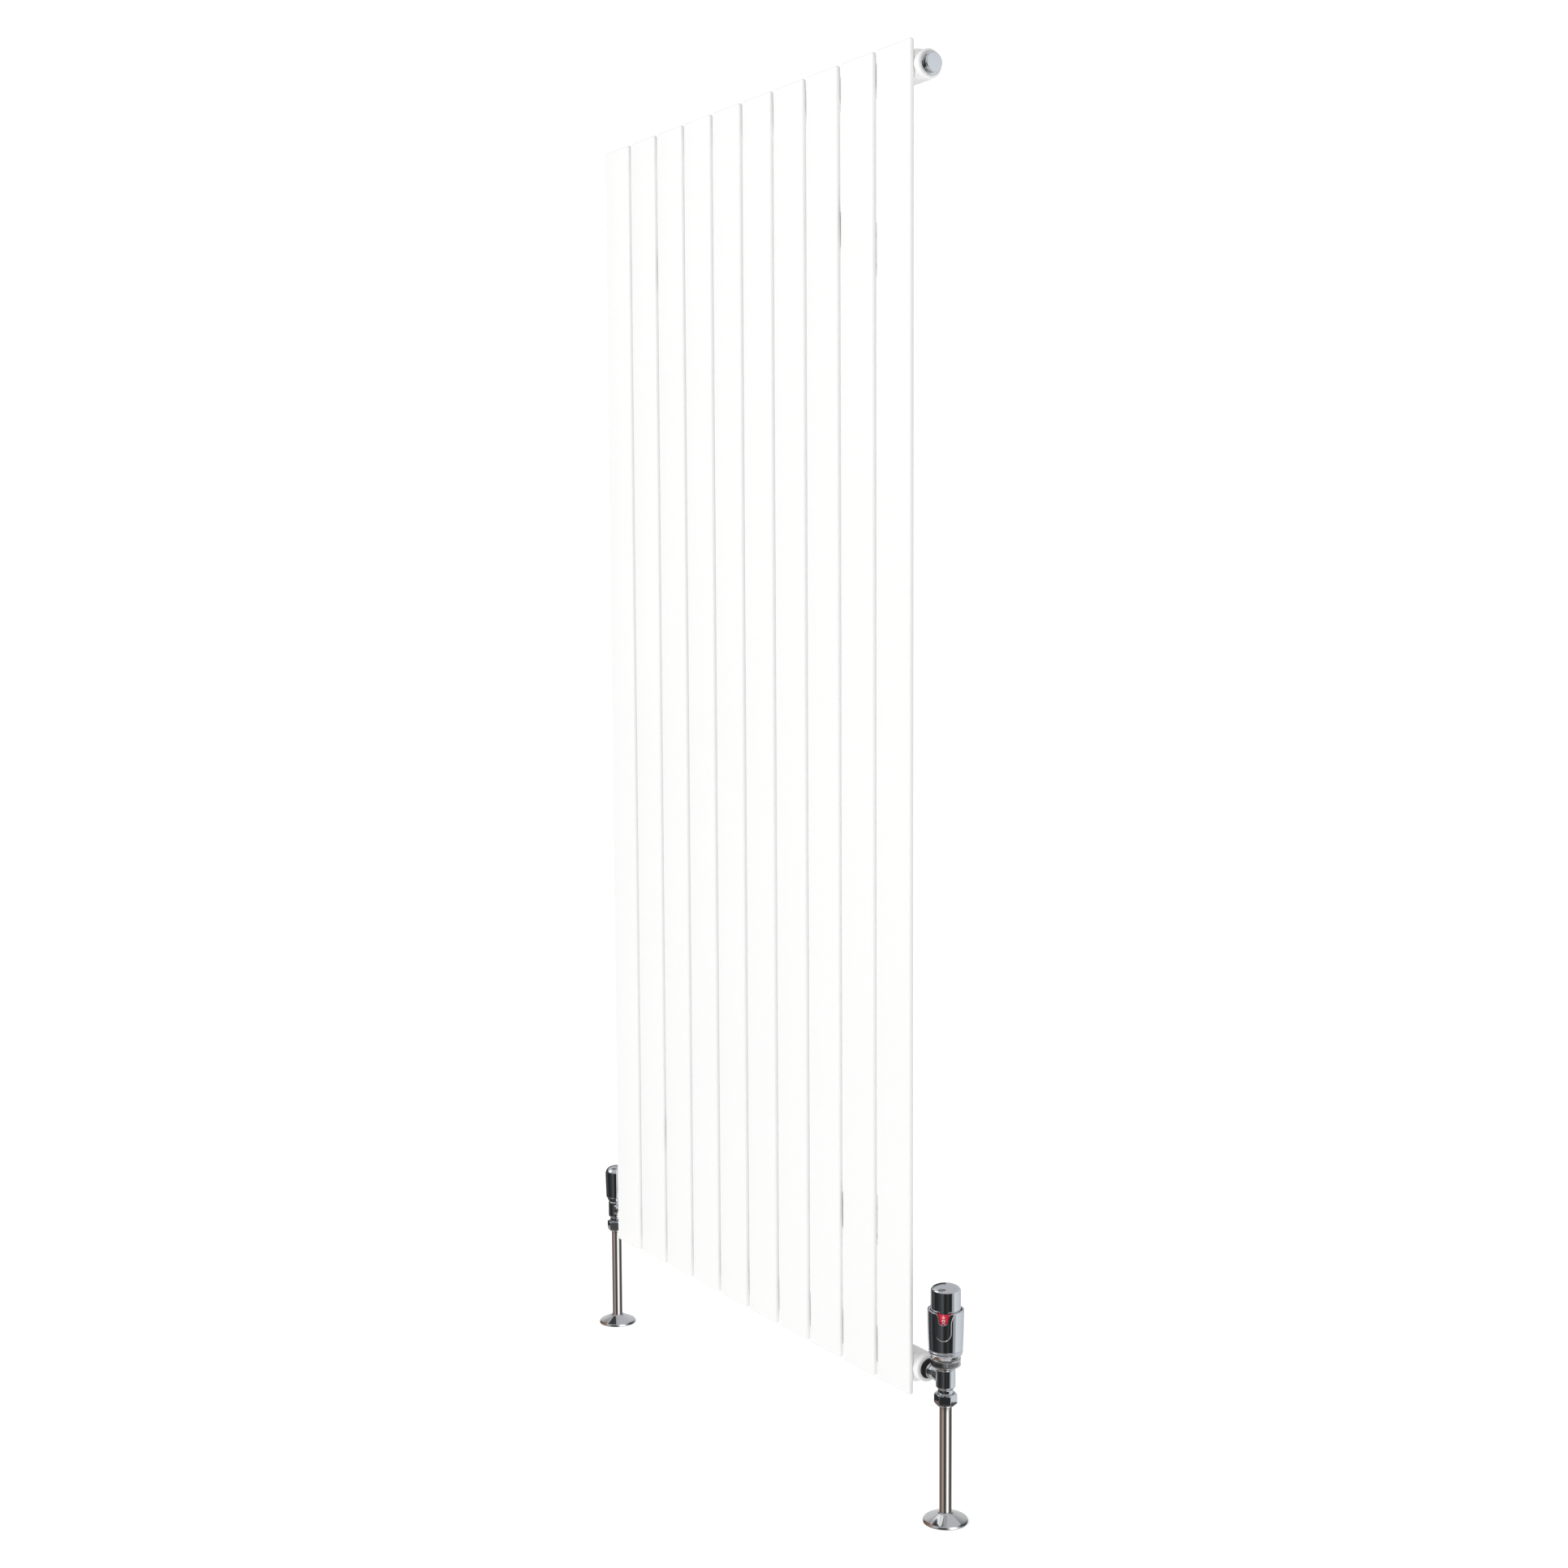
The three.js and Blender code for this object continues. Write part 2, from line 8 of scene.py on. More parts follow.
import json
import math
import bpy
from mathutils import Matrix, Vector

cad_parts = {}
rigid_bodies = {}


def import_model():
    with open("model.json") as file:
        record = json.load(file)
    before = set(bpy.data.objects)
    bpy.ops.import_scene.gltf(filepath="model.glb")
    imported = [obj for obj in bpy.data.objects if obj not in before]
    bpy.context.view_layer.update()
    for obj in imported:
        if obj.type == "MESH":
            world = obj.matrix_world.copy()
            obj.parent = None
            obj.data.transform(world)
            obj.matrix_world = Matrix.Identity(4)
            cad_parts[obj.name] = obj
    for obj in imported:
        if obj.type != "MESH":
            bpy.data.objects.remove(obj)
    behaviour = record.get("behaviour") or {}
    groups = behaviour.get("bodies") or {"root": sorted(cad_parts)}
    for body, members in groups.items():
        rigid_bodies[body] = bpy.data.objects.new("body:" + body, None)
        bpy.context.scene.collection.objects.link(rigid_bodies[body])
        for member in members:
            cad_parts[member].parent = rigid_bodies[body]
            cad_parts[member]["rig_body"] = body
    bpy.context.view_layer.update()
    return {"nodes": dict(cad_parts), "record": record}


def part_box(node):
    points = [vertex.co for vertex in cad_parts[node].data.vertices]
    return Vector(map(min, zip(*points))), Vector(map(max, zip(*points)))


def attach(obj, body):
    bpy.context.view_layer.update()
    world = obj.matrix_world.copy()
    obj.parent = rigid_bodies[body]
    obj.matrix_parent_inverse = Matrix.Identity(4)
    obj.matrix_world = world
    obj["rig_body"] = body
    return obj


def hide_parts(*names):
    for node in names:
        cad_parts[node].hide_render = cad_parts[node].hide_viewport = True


bl_info = {
    "name": "Panel radiator with valves",
    "version": (1, 0, 0),
    "blender": (4, 5, 0),
    "location": "3D View > Sidebar > Radiator",
    "description": "Makes the finished surfaces of a flat-panel radiator around its packed model",
    "category": "Object",
}

import bmesh
import bpy
import numpy as np
from bpy.props import FloatProperty, FloatVectorProperty, IntProperty, PointerProperty
from mathutils import Matrix, Vector

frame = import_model()

MM = 0.001
SIDES = ("left", "right")
LEVELS = ("bottom", "top")
JOIN_DIGITS = 7  # points whose coordinates agree to this many decimals are one vertex


# ---- Where things are, from the frame ----


def centre(node):
    """The middle of a node's box, in metres."""
    low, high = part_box(node)
    return (low + high) / 2


def port(side):
    """Where the bottom header's axis meets the upright axis of the valve on that side, in metres."""
    pipe = centre(f"pipe_{side}")
    return Vector((pipe.x, pipe.y, centre("header_bottom").z))


def stand(node, side):
    """The port that a node stands on, and the node's lowest and highest height from it in millimetres."""
    at = port(side)
    low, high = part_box(node)
    return at, (low.z - at.z) / MM, (high.z - at.z) / MM


# ---- Sizes and colours that a user would change ----


class RadiatorSizes(bpy.types.PropertyGroup):
    """Roundings and counts of the finished surfaces."""

    panel_end_round: FloatProperty(
        name="Panel end rounding",
        description="Radius of the corners at the top and bottom of a panel",
        default=3.5 * MM,
        unit="LENGTH",
    )
    panel_edge_round: FloatProperty(
        name="Panel edge rounding",
        description="Radius of a panel's long edges",
        default=2.8 * MM,
        unit="LENGTH",
    )
    knurl_teeth: IntProperty(
        name="Knurl teeth",
        description="Teeth round the thermostatic head's nut",
        default=90,
        min=12,
    )
    turned_sides: IntProperty(
        name="Turned sides",
        description="Steps round a turned piece",
        default=128,
        min=24,
    )


class RadiatorColours(bpy.types.PropertyGroup):
    """Colours of the finishes."""

    paint: FloatVectorProperty(
        name="Powder coat",
        description="Colour of the painted steel",
        subtype="COLOR",
        size=4,
        default=(0.905, 0.905, 0.9, 1.0),
    )
    chrome: FloatVectorProperty(
        name="Chrome",
        description="Colour of the polished plating",
        subtype="COLOR",
        size=4,
        default=(0.83, 0.845, 0.865, 1.0),
    )
    satin: FloatVectorProperty(
        name="Satin chrome",
        description="Colour of the pipes and the knurled nut",
        subtype="COLOR",
        size=4,
        default=(0.72, 0.7, 0.68, 1.0),
    )
    dial: FloatVectorProperty(
        name="Dial band",
        description="Colour of the band behind the window",
        subtype="COLOR",
        size=4,
        default=(0.62, 0.004, 0.02, 1.0),
    )


class StageSettings(bpy.types.PropertyGroup):
    """Camera and light."""

    azimuth: FloatProperty(
        name="Azimuth",
        description="How far round to the right the camera stands",
        default=math.radians(57.75),
        subtype="ANGLE",
    )
    elevation: FloatProperty(
        name="Elevation",
        description="How far the camera looks down",
        default=math.radians(5.06),
        subtype="ANGLE",
    )
    roll: FloatProperty(
        name="Roll",
        description="Turn of the camera about its own axis",
        default=math.radians(-0.27),
        subtype="ANGLE",
    )
    lens: FloatProperty(
        name="Lens",
        description="Focal length on a 36 mm sensor",
        default=48.77,
        unit="CAMERA",
    )
    ambient: FloatProperty(
        name="Ambient",
        description="Strength of the even light from all round",
        default=1.0,
        min=0.0,
    )
    flags_facing: FloatProperty(
        name="Flags face",
        description="Direction from +X that the middle of the studio's flags stands in",
        default=math.radians(-36.7),
        subtype="ANGLE",
    )


def sizes():
    """The sizes set on the scene."""
    return bpy.context.scene.radiator_sizes


def colours():
    """The colours set on the scene."""
    return bpy.context.scene.radiator_colours


# ---- Surfaces ----


def grid_faces(rows, columns):
    """The quads of a grid of rows by columns, closed round in the column direction only."""
    index = np.arange(rows * columns).reshape(rows, columns)
    beside = np.roll(index, -1, axis=1)
    return np.stack([index[:-1], beside[:-1], beside[1:], index[1:]], -1).reshape(-1, 4)


def closed_grid(surface):
    """Vertices and faces of a surface given as (rows, columns, 3). Coincident points are joined, so poles
    become one vertex, and a quad with two joined corners becomes a triangle."""
    rows, columns, _ = surface.shape
    points = surface.reshape(-1, 3)
    _, first, joined = np.unique(
        np.round(points, JOIN_DIGITS), axis=0, return_index=True, return_inverse=True
    )
    quads = joined.reshape(-1)[grid_faces(rows, columns)]
    same = quads == np.roll(quads, -1, axis=1)
    folds = same.sum(1)
    whole = quads[folds == 0]
    triangles = quads[folds == 1][~same[folds == 1]].reshape(-1, 3)
    return points[first], whole.tolist() + triangles.tolist()


def extra_piece(name, surfaces, finish, body, sharp=32.0):
    """One object made of closed surfaces in metres, which rides on a body. Edges that turn by more than
    `sharp` degrees stay crisp."""
    vertices, faces = [], []
    start = 0
    for surface in surfaces:
        points, polygons = closed_grid(surface)
        vertices.append(points)
        faces.extend([[start + i for i in polygon] for polygon in polygons])
        start += len(points)
    mesh = bpy.data.meshes.new(name)
    mesh.from_pydata(np.concatenate(vertices), [], faces)
    made = bmesh.new()
    made.from_mesh(mesh)
    bmesh.ops.recalc_face_normals(made, faces=made.faces)
    made.to_mesh(mesh)
    made.free()
    mesh.shade_smooth()
    mesh.set_sharp_from_angle(angle=math.radians(sharp))
    mesh.materials.append(finish)
    obj = bpy.data.objects.new(name, mesh)
    bpy.context.scene.collection.objects.link(obj)
    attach(obj, body)
    return obj


def piece(name, surfaces, node, sharp=32.0):
    """A piece that stands for a CAD node: it rides with it and takes its slot."""
    slot = slot_of(node)
    obj = extra_piece(name, surfaces, finish_for(slot), frame["nodes"][node]["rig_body"], sharp)
    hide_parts(node)


def slot_of(node):
    """The record's material slot of a CAD node."""
    found = {s["node"]: s["material_slot"] for s in frame["record"]["subparts"]}
    return found[node]


def softened(corners, steps=5):
    """A profile with rounded corners. Each corner is (radius, height, fillet): the fillet is an arc that
    touches both sides, drawn by blending the two tangent points through the corner (a quadratic)."""
    corners = [tuple(c) + (0,) * (3 - len(c)) for c in corners]
    out = []
    for i, (r, z, fillet) in enumerate(corners):
        here = np.array([r, z], float)
        if fillet == 0 or i in (0, len(corners) - 1):
            out.append(here[None])
            continue
        before = np.array(corners[i - 1][:2], float) - here
        after = np.array(corners[i + 1][:2], float) - here
        length_before, length_after = np.linalg.norm(before), np.linalg.norm(after)
        back = min(fillet, 0.49 * length_before, 0.49 * length_after)
        start = here + before / length_before * back
        end = here + after / length_after * back
        t = np.linspace(0, 1, steps + 1)[:, None]
        out.append((1 - t) ** 2 * start + 2 * t * (1 - t) * here + t**2 * end)
    return np.concatenate(out)


def turned(profile, at, along=(0, 0, 1), sides=None, swell=None):
    """A profile of (radius, height) in millimetres carried round an axis through `at`: radius out, height
    along. `swell`, if given, is a function of the grids (radius, height, angle) that gives new radii."""
    profile = np.asarray(profile, float)
    angle = np.linspace(0, 2 * np.pi, sides or sizes().turned_sides, endpoint=False)
    radius = np.repeat(profile[:, :1], len(angle), 1)
    height = np.repeat(profile[:, 1:], len(angle), 1)
    if swell:
        radius = swell(radius, height, angle[None])
    return placed(radius * np.cos(angle), radius * np.sin(angle), height, at, along)


def placed(across, beside, height, at, along):
    """Local millimetres to metres in the frame, with the local height axis laid along `along`."""
    up = np.array(along, float)
    side = np.array((1, 0, 0) if abs(up[2]) > 0.5 else (0, 0, 1), float)
    third = np.cross(up, side)
    local = across[..., None] * side + beside[..., None] * third + height[..., None] * up
    return local * MM + np.array(at)


def ring_profile(inner, outer, low, high, fillet=0.4):
    """A closed profile of a plain ring, starting and ending at the same point."""
    return softened(
        [(inner, (low + high) / 2), (inner, low, fillet), (outer, low, fillet), (outer, high, fillet),
         (inner, high, fillet), (inner, (low + high) / 2)]
    )


# Radii as shares of half the flats: corners and chamfers, end face, least radius of the sides.
NUT_CHAMFER = 0.985
NUT_FACE = 0.97
NUT_SIDE = 0.99


def hexagon(flats, low, high, turn=0.0):
    """How a round profile becomes a nut between two heights: the radius is the lesser of the hexagon's,
    half the flats over the cosine of the angle from the middle of the flat, and a 30-degree chamfer cone
    that leaves each end at the flats' own radius."""

    def swell(radius, height, angle):
        """The new radii."""
        from_flat = np.mod(angle - turn, np.pi / 3) - np.pi / 6
        six = np.minimum(flats / 2 / np.cos(from_flat), flats / math.sqrt(3) * NUT_CHAMFER)
        end = np.minimum(height - low, high - height)
        cone = flats / 2 * NUT_CHAMFER + np.maximum(end, 0) * math.sqrt(3)
        return np.where(radius > flats / 2 * NUT_SIDE, np.minimum(six, cone), radius)

    return swell


def nut_profile(inner, flats, low, high, rows=20):
    """The profile that `hexagon` works on: bore, end face, closely spaced rows up the flats, end face."""
    outer = np.stack([np.full(rows, flats / 2), np.linspace(low, high, rows)], -1)
    face = flats / 2 * NUT_FACE
    head = np.array([[inner, (low + high) / 2], [inner, low + 0.5], [inner + 0.5, low], [face, low]])
    tail = np.array([[face, high], [inner + 0.5, high], [inner, high - 0.5], [inner, (low + high) / 2]])
    return np.concatenate([head, outer, tail])


# ---- Materials ----


class Value:
    """A node's number output. Arithmetic written on it adds a Math node for each operation."""

    def __init__(self, finish, socket):
        self.finish = finish
        self.socket = socket

    def math(self, operation, first, second):
        """One Math node."""
        return self.finish.node("ShaderNodeMath", {"operation": operation}, {0: first, 1: second})

    def __add__(self, other):
        return self.math("ADD", self, other)

    def __radd__(self, other):
        return self.math("ADD", other, self)

    def __sub__(self, other):
        return self.math("SUBTRACT", self, other)

    def __rsub__(self, other):
        return self.math("SUBTRACT", other, self)

    def __mul__(self, other):
        return self.math("MULTIPLY", self, other)

    def __rmul__(self, other):
        return self.math("MULTIPLY", other, self)


class Nodes:
    """A node tree that is built by adding nodes one at a time."""

    def __init__(self, tree):
        self.tree = tree

    def wire(self, node, sockets):
        """Sets or links a node's inputs by name or number."""
        for key, value in sockets.items():
            if isinstance(value, Value):
                self.tree.links.new(value.socket, node.inputs[key])
            else:
                node.inputs[key].default_value = value

    def node(self, kind, settings=None, sockets=None, output=0):
        """Adds a node: its settings first, then its sockets' values and links."""
        made = self.tree.nodes.new(kind)
        for key, value in (settings or {}).items():
            if key == "stops":
                self.set_stops(made.color_ramp, value)
            else:
                setattr(made, key, value)
        self.wire(made, sockets or {})
        return Value(self, made.outputs[output])

    def set_stops(self, ramp, stops):
        """Fills a colour ramp with (position, colour) stops."""
        for _ in range(len(stops) - 2):
            ramp.elements.new(0.5)
        for element, (position, colour) in zip(ramp.elements, stops):
            element.position = position
            element.color = colour

    def heading(self, point, facing):
        """The bearing of a point round the vertical, as a share of a turn: 0.5 towards `facing`, an angle
        from +X, and more to the right as seen from there. Also the point's three coordinates."""
        split = [self.node("ShaderNodeSeparateXYZ", None, {"Vector": point}, output=i) for i in range(3)]
        x, y, z = split
        towards = x * math.cos(facing) + y * math.sin(facing)
        beside = y * math.cos(facing) - x * math.sin(facing)
        turn = self.node("ShaderNodeMath", {"operation": "ARCTAN2"}, {0: beside, 1: towards})
        return turn * (0.5 / math.pi) + 0.5, (towards, beside, z)

    def ramp(self, factor, stops):
        """A colour that follows (degrees, colour) stops, from -180 to 180 degrees."""
        settings = {"stops": [(0.5 + degrees / 360, colour) for degrees, colour in stops]}
        return self.node("ShaderNodeValToRGB", settings, {"Fac": factor})

    def smooth(self, value, low, high):
        """0 below `low`, 1 above `high`, eased between."""
        settings = {"interpolation_type": "SMOOTHSTEP"}
        return self.node("ShaderNodeMapRange", settings, {"Value": value, "From Min": low, "From Max": high})

    def blend(self, factor, first, second):
        """One colour to another."""
        return self.node("ShaderNodeMix", {"data_type": "RGBA"}, {0: factor, 6: first, 7: second}, output=2)


class Finish(Nodes):
    """A material around the principled shader."""

    def __init__(self, name):
        self.material = bpy.data.materials.new(name)
        self.material.use_nodes = True
        super().__init__(self.material.node_tree)
        self.shader = self.tree.nodes["Principled BSDF"]

    def where(self, stretch=(1, 1, 1)):
        """The point on the piece in metres, stretched along each axis."""
        point = self.node("ShaderNodeTexCoord", output="Object")
        return self.node("ShaderNodeMapping", None, {"Vector": point, "Scale": stretch})

    def noise(self, scale, detail=2.0, stretch=(1, 1, 1), rough=0.5):
        """Smooth noise from 0 to 1, with `scale` blobs to the metre."""
        sockets = {"Vector": self.where(stretch), "Scale": scale, "Detail": detail, "Roughness": rough}
        return self.node("ShaderNodeTexNoise", None, sockets)

    def bump(self, height, depth, strength=1.0):
        """A surface relief of `depth` metres."""
        return self.node("ShaderNodeBump", None, {"Height": height, "Distance": depth, "Strength": strength})

    def surface(self, **sockets):
        """Sets the shader's sockets; an underscore in a name stands for a space."""
        self.wire(self.shader, {key.replace("_", " "): value for key, value in sockets.items()})
        return self.material


def shade(colour, factor):
    """A colour made lighter or darker."""
    return tuple(min(1.0, c * factor) for c in tuple(colour)[:3]) + (1.0,)


def white_powder_coat():
    """Sprayed and baked paint: a fine orange peel and a faint cloudiness."""
    finish = Finish("white_powder_coat")
    paint = colours().paint
    cloud = finish.noise(3.0, 3.0)
    peel = finish.noise(900.0, 2.0)
    return finish.surface(
        Base_Color=finish.blend(cloud, shade(paint, 0.985), shade(paint, 1.01)),
        Roughness=0.3 + 0.08 * peel,
        Normal=finish.bump(peel, 0.012 * MM, 0.5),
        Specular_IOR_Level=0.3,
    )


def polished_chrome():
    """Mirror plating with a thin film of handling marks."""
    finish = Finish("polished_chrome")
    film = finish.noise(60.0, 4.0)
    return finish.surface(
        Base_Color=finish.blend(film, shade(colours().chrome, 0.97), shade(colours().chrome, 1.02)),
        Metallic=1.0,
        Roughness=0.035 + 0.05 * film,
        Normal=finish.bump(finish.noise(140.0, 1.0), 0.004 * MM, 0.3),
    )


def satin_chrome():
    """Drawn tube, plated: a grain along its length and slow stains."""
    finish = Finish("satin_chrome")
    grain = finish.noise(2200.0, 3.0, (1, 1, 0.02), 0.6)
    stain = finish.noise(25.0, 3.0, (1, 1, 0.3))
    return finish.surface(
        Base_Color=finish.blend(stain, shade(colours().satin, 0.94), shade(colours().satin, 1.03)),
        Metallic=1.0,
        Roughness=0.1 + 0.08 * grain,
        Normal=finish.bump(grain, 0.003 * MM, 0.4),
    )


def metal(name, colour, roughness, lines=(1, 1, 1)):
    """Turned or drawn metal: tool lines across the axis that `lines` compresses."""
    finish = Finish(name)
    cut = finish.noise(900.0, 3.0, lines)
    dull = finish.noise(80.0, 3.0)
    return finish.surface(
        Base_Color=finish.blend(dull, shade(colour, 0.82), shade(colour, 1.08)),
        Metallic=1.0,
        Roughness=roughness + 0.15 * cut,
        Normal=finish.bump(cut, 0.006 * MM, 0.5),
    )


def turned_brass():
    """Brass with tool lines across its axis."""
    return metal("turned_brass", (0.72, 0.5, 0.2), 0.2, (0.05, 0.05, 3))


def spring_steel():
    """Bright drawn steel."""
    return metal("spring_steel", (0.55, 0.56, 0.58), 0.22)


def black_rubber():
    """Moulded black rubber with a matt grain."""
    finish = Finish("black_rubber")
    grain = finish.noise(1500.0, 4.0)
    return finish.surface(
        Base_Color=finish.blend(grain, (0.012, 0.012, 0.013, 1), (0.03, 0.03, 0.031, 1)),
        Roughness=0.55 + 0.25 * grain,
        Normal=finish.bump(grain, 0.02 * MM, 0.6),
    )


def plastic(name, colour, roughness, coat):
    """Moulded plastic with a faint spark-eroded texture and slow flow marks."""
    finish = Finish(name)
    texture = finish.noise(2400.0, 2.0)
    flow = finish.noise(90.0, 2.0)
    return finish.surface(
        Base_Color=finish.blend(flow, shade(colour, 0.93), shade(colour, 1.05)),
        Roughness=roughness + 0.1 * texture,
        Normal=finish.bump(texture, 0.006 * MM, 0.5),
        Coat_Weight=coat,
    )


def red_plastic():
    """The dial band's red."""
    return plastic("red_plastic", colours().dial, 0.28, 0.3)


def grey_plastic():
    """The pale grey of the head's inner pieces."""
    return plastic("grey_plastic", (0.62, 0.63, 0.64, 1), 0.45, 0.0)


def white_print():
    """The white of the dial's marks."""
    return plastic("white_print", (0.9, 0.9, 0.9, 1), 0.4, 0.0)


MAKERS = {
    "white_paint": white_powder_coat,
    "chrome": polished_chrome,
    "satin_pipe": satin_chrome,
    "brass": turned_brass,
    "spring_steel": spring_steel,
    "rubber": black_rubber,
    "red_plastic": red_plastic,
    "grey_plastic": grey_plastic,
}


def finish_for(slot):
    """The material of one of the record's slots, made the first time that it is asked for."""
    maker = MAKERS[slot]
    return bpy.data.materials.get(maker.__name__) or maker()


# ---- Radiator ----

PANEL_END_DRAW = 0.7  # how far a panel's end thins, as a share of its thickness
HEADER_BACK_ROUND = 13 * MM
HEADER_FRONT_ROUND = 3 * MM
TAPPING = 10.5  # radius of the threaded hole in a header's end


def rounded_outline(half_x, half_y, corner, steps=7):
    """The outline of a rounded rectangle: four quarter circles at its corners, straight lines between."""
    quarter = np.linspace(0, np.pi / 2, steps)
    turn = (quarter + np.arange(4)[:, None] * np.pi / 2).ravel()
    sign_x = np.repeat([1, -1, -1, 1], steps)
    sign_y = np.repeat([1, 1, -1, -1], steps)
    x = sign_x * (half_x - corner) + corner * np.cos(turn)
    y = sign_y * (half_y - corner) + corner * np.sin(turn)
    return x, y


def panel_surface(node):
    """A flat bar with rounded edges, whose outline draws in along a quarter circle at each end: at a
    distance d inside the end the inset is r - sqrt(r^2 - (r - d)^2)."""
    low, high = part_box(node)
    middle = (low + high) / 2
    half = (high - low) / 2
    r, edge = sizes().panel_end_round, min(sizes().panel_edge_round, half.y * 0.98)
    flat = half.y * PANEL_END_DRAW
    turn = np.linspace(0, np.pi / 2, 9)
    inset = r * (1 - np.sin(turn))
    depth = r * (1 - np.cos(turn))
    x, y = rounded_outline(half.x, half.y, edge)
    share = np.minimum(inset / r, 1)[:, None]
    across = np.sign(x) * (np.abs(x) - inset[:, None] * np.minimum(1, np.abs(x) / (half.x - edge)))
    through = y * (1 - share * flat / half.y)
    end = np.stack([across, through, np.repeat(low.z + depth[:, None], len(x), 1)], -1)
    top = end[::-1].copy()
    top[..., 2] = low.z + high.z - top[..., 2]
    closed = end[:1].copy()
    closed[..., 1] = 0
    lid = top[-1:].copy()
    lid[..., 1] = 0
    surface = np.concatenate([closed, end, top, lid])
    surface[..., 0] += middle.x
    surface[..., 1] += middle.y
    return surface


def header_surface(node):
    """A bar along X: round at the back, flat against the panels, with lightly rounded front edges."""
    low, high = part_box(node)
    middle = (low + high) / 2
    half_y, half_z = (high.y - low.y) / 2, (high.z - low.z) / 2
    steps = np.linspace(0, np.pi / 2, 9)
    parts = []
    front, back = HEADER_FRONT_ROUND, HEADER_BACK_ROUND
    for quarter, radius in enumerate((back, front, front, back)):
        turn = steps + quarter * np.pi / 2
        y = math.copysign(half_y - radius, math.cos(turn[4])) + radius * np.cos(turn)
        z = math.copysign(half_z - radius, math.sin(turn[4])) + radius * np.sin(turn)
        parts.append(np.stack([y, z], -1))
    outline = np.concatenate(parts)
    x = np.array([low.x, low.x, high.x, high.x])
    grow = np.array([0.02, 1, 1, 0.02])
    surface = np.empty((4, len(outline), 3))
    surface[..., 0] = x[:, None]
    surface[..., 1] = middle.y + outline[:, 0] * grow[:, None]
    surface[..., 2] = middle.z + outline[:, 1] * grow[:, None]
    surface[0, :, 1:] = surface[-1, :, 1:] = (middle.y, middle.z)
    return surface


def boss_surface(node, side):
    """A short round end with a rounded rim and a chamfered tapping."""
    low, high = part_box(node)
    middle = (low + high) / 2
    length = (high.x - low.x) / MM
    radius = (high.z - low.z) / 2 / MM
    at = (low.x if side > 0 else high.x, middle.y, middle.z)
    profile = softened(
        [(TAPPING, 0), (radius - 0.02, 0), (radius, 2), (radius, length, 2.6), (11.6, length, 0.3),
         (TAPPING, length - 1.2, 0.3), (TAPPING, 0)],
        8,
    )
    return turned(profile, at, (side, 0, 0))


# ---- Plugs ----

PLUG_THREAD = 10.2
PLUG_FLANGE = 13.4
PLUG_FLATS = 19.5
PLUG_NUT_FOOT = 2.5


def plug_parts(at, way, bore, top):
    """The threaded end, the flange and the hexagon of a plug, with a bore or, where that is 0, solid."""
    spigot = softened(
        [(bore, -9.5), (PLUG_THREAD, -9.5, 0.6), (PLUG_THREAD, 1.2), (bore, 1.2), (bore, -9.5)]
    )
    flange = softened(
        [(bore, 1.15), (PLUG_FLANGE, 1.15, 0.4), (PLUG_FLANGE, 2.1, 0.5), (12.2, 2.6, 0.3), (bore, 2.6),
         (bore, 1.15)]
    )
    nut = nut_profile(bore, PLUG_FLATS, PLUG_NUT_FOOT, top)
    if bore == 0:
        nut[[0, 1, -2, -1], 0] = 0
    return [
        turned(spigot, at, way),
        turned(flange, at, way),
        turned(nut, at, way, swell=hexagon(PLUG_FLATS, PLUG_NUT_FOOT, top)),
    ]


def blanking_plug():
    """The plain plug: a round polished face on a hexagon."""
    middle = centre("blanking_plug_seal")
    at = (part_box("blanking_plug_seal")[0].x, middle.y, middle.z)
    face = softened([(0, 5.0), (10.4, 5.0, 0.3), (11.2, 5.6, 0.3), (11.2, 7.8, 0.7), (0, 7.8)], 7)
    surfaces = plug_parts(at, (1, 0, 0), 0, 5.3) + [turned(face, at, (1, 0, 0))]
    piece("blanking_plug_chrome", surfaces, "blanking_plug", 25)


def vent_plug():
    """The plug that holds the bleed screw: bored through, with a raised rim."""
    middle = centre("vent_plug_seal")
    at = (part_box("vent_plug_seal")[1].x, middle.y, middle.z)
    rim = softened(
        [(5, 4), (7.5, 4, 0.2), (9.2, 6.4, 0.2), (8.6, 8, 0.6), (5.4, 8, 0.3), (5, 7.4, 0.2), (5, 4)], 5
    )
    surfaces = plug_parts(at, (-1, 0, 0), 5, 7.2) + [turned(rim, at, (-1, 0, 0))]
    piece("vent_plug_chrome", surfaces, "vent_plug", 25)


# ---- Valve bottoms ----

INWARD = {"left": (1, 0, 0), "right": (-1, 0, 0)}
NUT_TURN = math.radians(-11)
NUT_FLATS = 24.5
SOCKET_END = 19  # from the valve's axis to the end of the socket towards the radiator
BEAD_PLACE = 0.42  # of the way along the tail's bare length
PIPE_BORE = 6.8
PIPE_RADIUS = 7.5
PIPE_HOLE = 7.9  # radius of a hole that the pipe slides through


def valve_body(name, side):
    """The upright trunk with its waist and top collar, and the socket towards the radiator."""
    at, low, high = stand(f"{name}_body", side)
    trunk = softened(
        [(0, low), (9.3, low, 0.3), (9.3, -13.6, 1.2), (10.4, -12.4, 0.5), (11.7, -11.2, 0.8),
         (11.7, 10.4, 0.9), (10.6, 11.4, 0.3), (10.4, high, 0.3), (0, high)],
        6,
    )
    socket = softened(
        [(0, 2), (9.9, 2), (9.9, 15.4, 0.6), (9.2, 16.2, 0.4), (9.2, SOCKET_END, 0.6), (0, SOCKET_END)], 6
    )
    surfaces = [turned(trunk, at), turned(socket, at, INWARD[side])]
    piece(f"{name}_body_chrome", surfaces, f"{name}_body")


